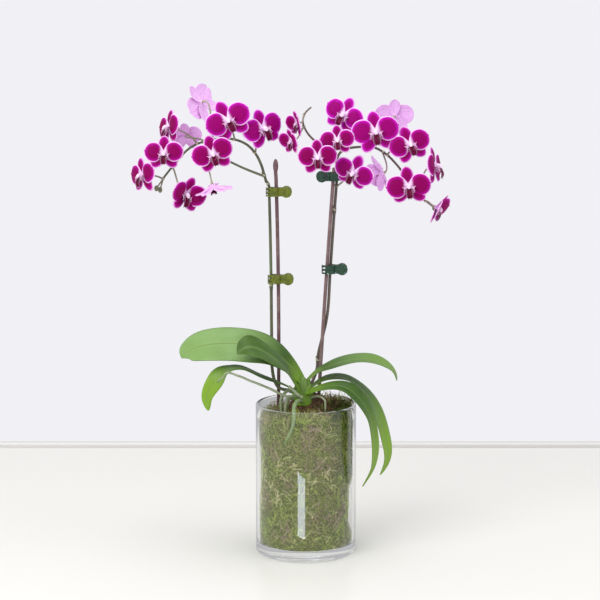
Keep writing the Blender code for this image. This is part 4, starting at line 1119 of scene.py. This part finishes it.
def make_stake(name, stake, top, look, knob):
    """Thin rod. The left one ends in a long knob."""
    heights = np.linspace(STAKE_FOOT, top, 72)
    radii = np.full(len(heights), STAKE_RADIUS)
    route = [stake_axis(stake, height) for height in heights]
    if knob:
        rise = np.linspace(-0.0068, 0.0068, 22)
        cut = heights < STAKE_TOP - 0.008
        route = [spot for spot, keep in zip(route, cut) if keep]
        route += [stake_axis(stake, STAKE_TOP) + np.array((0, 0, step)) for step in rise]
        swell = 0.0026 * np.sqrt(np.clip(1 - (rise / 0.0071) ** 2, 0, 1))
        swell = np.where(rise < 0, np.maximum(swell, STAKE_RADIUS), swell)
        radii = np.concatenate([radii[cut], swell])
    shell = Shell(*PLANT_VALUES)
    add_tube(shell, route, radii, 20)
    add_piece(name + "_rod", shell, look, stands_for=[name])


def left_stem_points():
    """Left stem from the crown to its upper clip."""
    away = np.array((-CLIP_HOLD, 0, 0))
    low = [place(point) for point in [(-7, 4, 14), (-18, 9, 11), (-29, 17, 14), (-34, 21, 32)]]
    held = [stake_axis(LEFT_STAKE, height) + away for height in (0.070, LEFT_CLIPS[0], 0.165)]
    top = [stake_axis(LEFT_STAKE, LEFT_CLIPS[1] + rise * CLIP_HEIGHT) + away
           for rise in (-0.6, 0.6)]
    return low + held + top


def right_stem_points():
    """Right stem from the crown to its upper clip."""
    low = [place(point) for point in [(-5, 7, 14), (-2, 15, 11), (5, 24, 14), (11, 29, 28),
                                      (13, 29, 46)]]
    away = np.array((0.8, 0.6, 0.0)) * (STAKE_RADIUS + STEM_RADIUS + 3 * GAP)
    heights = (0.085, RIGHT_CLIPS[0], 0.180, RIGHT_CLIPS[1])
    return low + [stake_axis(RIGHT_STAKE, height) + away for height in heights]


def add_bract(shell, line, fraction, radius, length):
    """Small sheath that clasps a stem at one of its nodes."""
    spot = along(line, fraction)
    onward = unit(along(line, fraction + 0.004) - along(line, fraction - 0.004))
    side = unit(np.cross(onward, (0.3, 1.0, 0.1)))
    third = np.cross(onward, side)
    rows, columns = 8, 15
    t = np.linspace(0, 1, rows)[:, None]
    across = np.linspace(-1, 1, columns)[None, :]
    turn = across * math.radians(165) * (1 - 0.75 * t ** 1.3)
    out = radius * (1.10 + 0.16 * t)
    grid = (spot + onward * (length * t * (1 - 0.3 * across ** 2))[..., None]
            + side * (out * np.cos(turn))[..., None] + third * (out * np.sin(turn))[..., None])
    thick = np.full((rows, columns), 0.00016)
    add_sheet(shell, grid, thick, t, across, bract=1.0)


def stalk_route(start, end, facing, rise):
    """Curve of a flower stalk that rises off its line and meets the back of its bloom squarely."""
    length = np.linalg.norm(end - start)
    leave = start + unit(end - start) * length * 0.3 + np.array((0, 0, rise * length))
    arrive = end - facing * length * 0.35
    t = np.linspace(0, 1, 18)[:, None]
    return ((1 - t) ** 3 * start + 3 * (1 - t) ** 2 * t * leave + 3 * (1 - t) * t ** 2 * arrive
            + t ** 3 * end)


def make_spike(name, stem, head, branch, blooms, buds, look, nodes):
    """Stem, rachis, side branch, flower stalks, buds and the bracts at the nodes."""
    rachis = [place(point) for point in head]
    line = stem + rachis
    shell = Shell("along", "across", "stalk", "bract", "side")
    rows = 20 * len(line)
    share = np.linspace(0, 1, rows)
    spine = curve(line, share)
    radii = STEM_RADIUS * (1 - 0.4 * share)
    radii *= 1 + 0.05 * np.array([noise.noise(Vector((t * 30, 2, 0))) for t in share])
    for node in nodes:
        radii *= 1 + 0.30 * np.exp(-((share - node) / 0.0035) ** 2)
    add_tube(shell, spine, radii, 16, stalk=0.0)
    for node in nodes:
        add_bract(shell, line, node, STEM_RADIUS * (1 - 0.4 * node) * 1.12, 0.0048)
    branch_start, branch_points = branch
    side_line = [along(rachis, branch_start)] + [place(point) for point in branch_points]
    share = np.linspace(0, 1, 60)
    twig = curve(side_line, share)
    add_tube(shell, twig, STEM_RADIUS * (0.75 - 0.25 * share), 12, stalk=0.12)
    lines = {"stem": stem, "rachis": rachis, "branch": side_line}
    for bloom in blooms:
        way = unit(bloom.facing)
        start = along(lines[bloom.grown_from], bloom.fraction)
        end = place(bloom.back) - way * GAP
        route = stalk_route(start, end, way, 0.0 if bloom.grown_from == "stem" else STALK_RISE)
        share = np.linspace(0, 1, len(route))
        thick = PEDICEL_RADIUS * (1.15 - 0.25 * share + 0.9 * smooth_step(0.86, 1.0, share))
        add_tube(shell, route, thick, 10, stalk=0.25 + 0.7 * share)
        add_bract(shell, lines[bloom.grown_from], min(bloom.fraction, 0.985), STEM_RADIUS * 0.75,
                  0.0026)
    for spot, fraction in buds:
        tip = place(spot)
        start = along(rachis, fraction)
        route = np.array([start + (tip - start) * t for t in np.linspace(0, 1, 8)])
        add_tube(shell, route, PEDICEL_RADIUS * 0.9, 8, stalk=0.3)
        add_ball(shell, tip, np.array((2.2, 2.2, 3.0)) * MM, 12, 16, stalk=0.2)
    add_piece(name + "_growth", shell, look, stands_for=[name])


# ---------------------------------------------------------------- blooms
def bloom_matrix(bloom):
    """Turns a bloom from +Z to the way it faces, upper sepal up and then leaning left."""
    way = Vector(bloom.facing).normalized()
    up = Vector((0, 0, 1)) if abs(way.z) < 0.85 else Vector((0, 1, 0))
    sepal = (up - way * up.dot(way)).normalized()
    sepal = Matrix.Rotation(math.radians(bloom.lean), 3, way) @ sepal
    turn = Matrix((sepal.cross(way), sepal, way)).transposed().to_4x4()
    return Matrix.Translation(Vector(place(bloom.back))) @ turn


def petal_outline(u):
    """Half width of a broad petal along its length: a narrow claw, then a wide round blade."""
    rise = 0.26 + 0.74 * (1 - (1 - np.clip(u / 0.50, 0, 1)) ** 2.3) ** 1.15
    fall = np.clip(1 - (np.clip(u - 0.46, 0, 1) / 0.545) ** 2.3, 0.0, 1.0) ** 0.5
    return rise * fall


def sepal_outline(u):
    """Half width of a sepal: an ellipse with a blunt tip."""
    rise = 0.30 + 0.70 * np.sin(np.clip(u / 0.55, 0, 1) * math.pi / 2) ** 1.1
    fall = np.clip(1 - (np.clip(u - 0.55, 0, 1) / 0.455) ** 2.2, 0.0, 1.0) ** 0.55
    return rise * fall


def add_tepal(shell, turn, angle, length, width, outline, tilt, seat, dome, wave, tint, edging):
    """One petal or sepal, drawn out from the middle of the bloom in a direction."""
    rows, columns = 24, 19
    s = np.linspace(0, 1, rows)
    u = (1 - np.cos(s * math.pi)) / 2 * 0.6 + s * 0.4
    v = np.linspace(1, -1, columns)
    half = width / 2 * np.maximum(outline(u), 0.02)
    x = np.broadcast_to((length * (0.02 + u))[:, None], (rows, columns)).copy()
    y = half[:, None] * v[None, :]
    rim = np.concatenate([np.stack([x[:, 0], y[:, 0]], -1)[4:], np.stack([x[:, -1], y[:, -1]], -1)[4:]])
    flat = np.stack([x, y], -1).reshape(-1, 2)
    inward = np.linalg.norm(flat[:, None, :] - rim[None, :, :], axis=2).min(axis=1)
    inward = inward.reshape(rows, columns)
    phase, depth = wave
    z = dome * length * (np.sin(np.clip(u * 1.05, 0, 1) * math.pi) ** 0.8)[:, None] * (1 - 0.75 * v ** 2)
    z = z - 0.10 * length * (u[:, None] ** 3) * (0.4 + 0.6 * np.abs(v))
    ripple = np.sin(5 * v[None, :] * u[:, None] + 4 * u[:, None] + phase)
    z = z + depth * ripple * np.abs(v) ** 2.5 * u[:, None]
    z = z - 0.010 * length * np.exp(-(v / 0.10) ** 2) * np.sin(u * math.pi)[:, None]
    grid = np.stack([x, y, z], -1)
    lean = Matrix.Rotation(-math.radians(tilt), 4, "Y")
    full = (turn @ Matrix.Translation((0, 0, seat)) @ Matrix.Rotation(math.radians(angle), 4, "Z")
            @ lean)
    thick = 0.00030 * (1 - 0.62 * np.abs(v[None, :]) ** 2) * (1 - 0.45 * u[:, None])
    add_sheet(shell, grid, thick, u[:, None], v[None, :], full, inward=inward / MM, tint=tint,
              edging=edging)


def add_lip(shell, turn, size):
    """Column, callus, side lobes and the forked middle lobe of the lip."""
    def strap_in_bloom(spine, side, half, fold, thick, **values):
        """Strap in the bloom's own frame, moved to its place afterwards."""
        columns = 11
        across = np.linspace(-1, 1, columns)
        lift = np.outer(half, np.abs(across) ** 1.6) * fold
        first = len(shell.points)
        add_strap(shell, spine * size, np.tile(side, (len(spine), 1)), half * size, lift * size,
                  np.full((len(spine), columns), thick) * (1 - 0.5 * np.abs(across) ** 2),
                  columns, **values)
        shell.points[first] = moved(shell.points[first], turn)

    share = np.linspace(0, 1, 16)
    middle = curve(np.array([(0, -0.02, 0.05), (0, -0.05, 0.11), (0, -0.115, 0.155),
                             (0, -0.185, 0.165), (0, -0.235, 0.15)]), share)
    half = 0.022 + 0.048 * np.sin(np.clip(share / 0.62, 0, 1) * math.pi / 2) ** 1.6
    half *= np.clip(1 - np.clip((share - 0.62) / 0.40, 0, 1) ** 2, 0, 1) ** 0.5
    rows = share[:, None]
    across = np.abs(np.linspace(-1, 1, 11))[None, :]
    dark = smooth_step(0.08, 0.22, rows) * (1 - 0.25 * smooth_step(0.72, 1.0, across))
    strap_in_bloom(middle, np.array((-1.0, 0, 0)), np.maximum(half, 0.008), 0.42, 0.00035,
                   maroon=dark, striped=0.0)
    for hand in (-1, 1):
        lobe = curve(np.array([(hand * 0.018, -0.035, 0.055), (hand * 0.060, -0.050, 0.095),
                               (hand * 0.092, -0.045, 0.145), (hand * 0.078, -0.025, 0.185)]),
                     share[:12])
        wide = 0.020 + 0.056 * np.sin(np.linspace(0, 1, 12) * math.pi * 0.86) ** 0.9
        side = unit(np.array((0.25 * hand, 0.85, -0.35)))
        strap_in_bloom(lobe, side, wide, 0.5 * hand, 0.0003, maroon=0.0, striped=1.0)
        tendril = np.array([(hand * 0.010, -0.228, 0.150), (hand * 0.022, -0.250, 0.158),
                            (hand * 0.034, -0.256, 0.176), (hand * 0.030, -0.246, 0.192)]) * size
        fine = curve(tendril, np.linspace(0, 1, 9))
        local = Shell(*LIP_VALUES)
        add_tube(local, fine, np.linspace(0.0080, 0.0035, 9) * size, 7, maroon=0.5)
        merge_turned(shell, local, turn)
    parts = Shell(*LIP_VALUES)
    bend = [np.array(p) * size for p in ((0, 0.004, 0.010), (0, 0.012, 0.070), (0, 0.004, 0.125),
                                         (0, -0.018, 0.160))]
    route = curve(bend, np.linspace(0, 1, 14))
    thick = size * (0.034 + 0.012 * np.sin(np.linspace(0, 1, 14) * math.pi * 0.9))
    add_tube(parts, route, thick, 14, rounding=0.7)
    add_ball(parts, np.array((0, -0.024, 0.168)) * size, np.array((0.034, 0.030, 0.024)) * size, 9,
             14, yellow=0.12)
    for hand in (-1, 1):
        add_ball(parts, np.array((hand * 0.016, -0.055, 0.098)) * size,
                 np.array((0.014, 0.022, 0.016)) * size, 8, 12, yellow=0.75, maroon=0.0)
    merge_turned(shell, parts, turn)


def merge_turned(shell, local, turn):
    """Adds the shapes of a shell made at the origin to another one, moved to their place."""
    points = moved(np.concatenate(local.points), turn)
    values = {key: np.concatenate(stored) for key, stored in local.values.items()}
    three = [face for face in local.faces if len(face) == 3]
    four = [face for face in local.faces if len(face) == 4]
    shell.add(points, [faces for faces in (three, four) if faces], **values)


def make_bloom(bloom):
    """Moth orchid bloom: three sepals behind two broad petals, and the lip with its column."""
    size = bloom.span * MM
    turn = bloom_matrix(bloom)
    tepals = Shell("along", "across", "side", "inward", "tint", "edging")
    cup = 24 if bloom.half_closed else 3
    vary = chance.normal(0, 1, 24)
    sepals = [(90 + 3 * vary[0], 0.465, 0.310), (228 + 3 * vary[1], 0.470, 0.320),
              (312 + 3 * vary[2], 0.470, 0.320)]
    for index, (angle, length, width) in enumerate(sepals):
        add_tepal(tepals, turn, angle, length * size * (1 + 0.02 * vary[3 + index]), width * size,
                  sepal_outline, cup * 0.9 + 2.5 * vary[6 + index], 0.0006, 0.05,
                  (vary[9 + index], 0.010 * size), bloom.violet, 0.75)
    for index, angle in enumerate((9, 171)):
        add_tepal(tepals, turn, angle + 3 * vary[12 + index], 0.525 * size, 0.545 * size,
                  petal_outline, cup * 1.1 + 2 * vary[14 + index], 0.0017, 0.075,
                  (vary[16 + index], 0.016 * size), bloom.violet, 1.0)
    add_piece(bloom.name + "_petals", tepals, PETAL, stands_for=[bloom.name])
    lip = Shell(*LIP_VALUES)
    add_lip(lip, turn, 1.22 * size)
    add_piece(bloom.name + "_lip", lip, LIP)


# ---------------------------------------------------------------- claw clips
JAW_EDGE = 0.00018  # radius of the rounded edges of the moulded jaws


def polished_copy(node, name, look, body):
    """Copy of a CAD node with its flat faces merged and its edges rounded."""
    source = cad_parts[node]
    mesh = source.data.copy()
    mesh.name = name
    bm = bmesh.new()
    bm.from_mesh(mesh)
    bmesh.ops.remove_doubles(bm, verts=bm.verts, dist=1e-6)
    bmesh.ops.dissolve_limit(bm, angle_limit=math.radians(2), verts=bm.verts, edges=bm.edges)
    bm.to_mesh(mesh)
    bm.free()
    piece = link_object(name, mesh)
    rounding = piece.modifiers.new("rounding", "BEVEL")
    rounding.width = JAW_EDGE
    rounding.segments = 2
    rounding.limit_method = "ANGLE"
    rounding.angle_limit = math.radians(35)
    bpy.context.view_layer.update()
    graph = bpy.context.evaluated_depsgraph_get()
    final = bpy.data.meshes.new_from_object(piece.evaluated_get(graph))
    piece.modifiers.clear()
    piece.data = final
    final.materials.clear()
    final.materials.append(look)
    final.shade_smooth()
    final.set_sharp_from_angle(angle=math.radians(40))
    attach(piece, body)
    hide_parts(node)
    return piece


def make_clips():
    """Claw clips: moulded jaws, hinge pin and a coiled spring."""
    for side in ("left", "right"):
        look = CLIP_OLIVE if side == "left" else CLIP_GREEN
        for level in ("lower", "upper"):
            clip = "clip_%s_%s" % (side, level)
            for half, body in (("fixed", "planted_vase"), ("moving", clip + "_jaw")):
                polished_copy(clip + "_" + half + "_jaw", clip + "_" + half + "_moulding", look,
                              body)
            low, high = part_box(clip + "_pin")
            centre = np.array((low + high) / 2)
            radius = (high.x - low.x) / 2
            pin = Shell(*PLANT_VALUES)
            heights = np.linspace(low.z, high.z, 12)
            add_tube(pin, [(centre[0], centre[1], height) for height in heights], radius, 20, 0.1)
            add_piece(clip + "_hinge_pin", pin, STEEL, stands_for=[clip + "_pin"])
            low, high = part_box(clip + "_spring")
            outer = (high.x - low.x) / 2
            wire = 0.00022
            turns = 5
            t = np.linspace(0, 1, 24 * turns)
            turn = t * turns * 2 * math.pi
            level_z = low.z + wire + (high.z - low.z - 2 * wire) * t
            coil = np.stack([centre[0] + (outer - wire) * np.cos(turn),
                             centre[1] + (outer - wire) * np.sin(turn), level_z], -1)
            spring = Shell(*PLANT_VALUES)
            add_tube(spring, coil, wire, 8)
            add_piece(clip + "_coil", spring, STEEL, stands_for=[clip + "_spring"])


# ---------------------------------------------------------------- stage
def make_stage():
    """Table top, soft light and the camera."""
    for name, look, low, high in (
        ("table_top", TABLE, (-1.3, -1.6, -0.03), (1.3, 0.434, 0.0)),
        # Darker ledge: painted shade along the back edge of the table.
        ("table_ledge", SHADED_LEDGE, (-1.3, 0.437, -0.03), (1.3, 0.450, 0.005)),
    ):
        shell = Shell()
        corners = [(x, y, z) for z in (low[2], high[2]) for y in (low[1], high[1])
                   for x in (low[0], high[0])]
        shell.add(corners, [[(0, 1, 3, 2), (4, 6, 7, 5), (0, 4, 5, 1), (2, 3, 7, 6), (0, 2, 6, 4),
                             (1, 5, 7, 3)]])
        mesh = bpy.data.meshes.new(name)
        mesh.from_pydata(np.concatenate(shell.points).tolist(), [], shell.faces)
        mesh.materials.append(look)
        board = link_object(name, mesh)
        rounding = board.modifiers.new("rounding", "BEVEL")
        rounding.width = 0.002
        rounding.segments = 4
        board.visible_glossy = False

    world = bpy.data.worlds.new("pale_room")
    bpy.context.scene.world = world
    world.use_nodes = True
    background = world.node_tree.nodes["Background"]
    background.inputs["Color"].default_value = (0.880, 0.878, 0.915, 1.0)
    ray = add_node(world.node_tree, "ShaderNodeLightPath")
    soft = reckon(world.node_tree, "MULTIPLY", ray.outputs["Is Diffuse Ray"], 0.26)
    dim = reckon(world.node_tree, "MULTIPLY", ray.outputs["Is Glossy Ray"], 0.45)
    taken = reckon(world.node_tree, "ADD", soft, dim)
    strength = reckon(world.node_tree, "SUBTRACT", 1.0, taken)
    world.node_tree.links.new(strength, background.inputs["Strength"])

    for name, spot, size, energy in (
        ("lamp_left_front", (-1.3, -1.5, 1.7), 1.4, 28.0),
        ("lamp_above", (0.2, -0.1, 2.2), 1.6, 14.0),
        ("lamp_right", (1.6, -0.6, 1.2), 1.0, 4.0),
    ):
        lamp = bpy.data.lights.new(name, "AREA")
        lamp.size = size
        lamp.energy = energy
        holder = link_object(name, lamp)
        holder.location = spot
        aim = Vector((0, 0, 0.22)) - Vector(spot)
        holder.rotation_mode = "QUATERNION"
        holder.rotation_quaternion = aim.to_track_quat("-Z", "Y")

    window = bpy.data.materials.new("window_glow")
    window.use_nodes = True
    tree = window.node_tree
    tree.nodes.clear()
    glow = add_node(tree, "ShaderNodeEmission", {"Color": (0.80, 0.86, 1.0), "Strength": 13.0})
    output = add_node(tree, "ShaderNodeOutputMaterial")
    tree.links.new(glow.outputs[0], output.inputs["Surface"])
    pane = bpy.data.meshes.new("window_pane")
    across, depth = (-0.30, -0.03), -0.9
    levels = (-0.288, -0.136)
    pane.from_pydata([(across[0], depth, levels[0]), (across[1], depth, levels[0]),
                      (across[1], depth, levels[1]), (across[0], depth, levels[1])],
                     [], [(0, 1, 2, 3)])
    pane.materials.append(window)
    card = link_object("window_pane", pane)
    card.visible_camera = False
    card.visible_diffuse = False
    card.visible_shadow = False
    card.visible_transmission = False

    lens = bpy.data.cameras.new("camera")
    lens.lens = 101.4
    lens.sensor_width = 36.0
    camera = link_object("camera", lens)
    camera.location = (-0.0059, -1.650, 0.500)
    camera.rotation_euler = (math.radians(90 - 8.5), 0.0, 0.0)
    bpy.context.scene.camera = camera
    bpy.context.scene.view_settings.view_transform = "Standard"


make_glass()
make_moss_core()
make_moss_fibres()
make_moss_sprigs()
make_bark()
for order, leaf in enumerate(LEAVES):
    make_leaf(leaf, order)
make_crown()
for order, root in enumerate(ROOTS):
    make_root(root, order * 3.7)
make_stake("stake_left", LEFT_STAKE, STAKE_TOP, STAKE_LEFT, True)
make_stake("stake_right", RIGHT_STAKE, RIGHT_CLIPS[1] + STAKE_PAST_CLIP, STAKE_RIGHT, False)
make_spike("spike_left", left_stem_points(), LEFT_HEAD, LEFT_BRANCH, LEFT_BLOOMS, LEFT_BUDS,
           STEM_LEFT, (0.27, 0.46, 0.515))
make_spike("spike_right", right_stem_points(), RIGHT_HEAD, RIGHT_BRANCH, RIGHT_BLOOMS, RIGHT_BUDS,
           STEM_RIGHT, (0.20, 0.40, 0.45))
for bloom in LEFT_BLOOMS + RIGHT_BLOOMS:
    make_bloom(bloom)
make_clips()
make_stage()
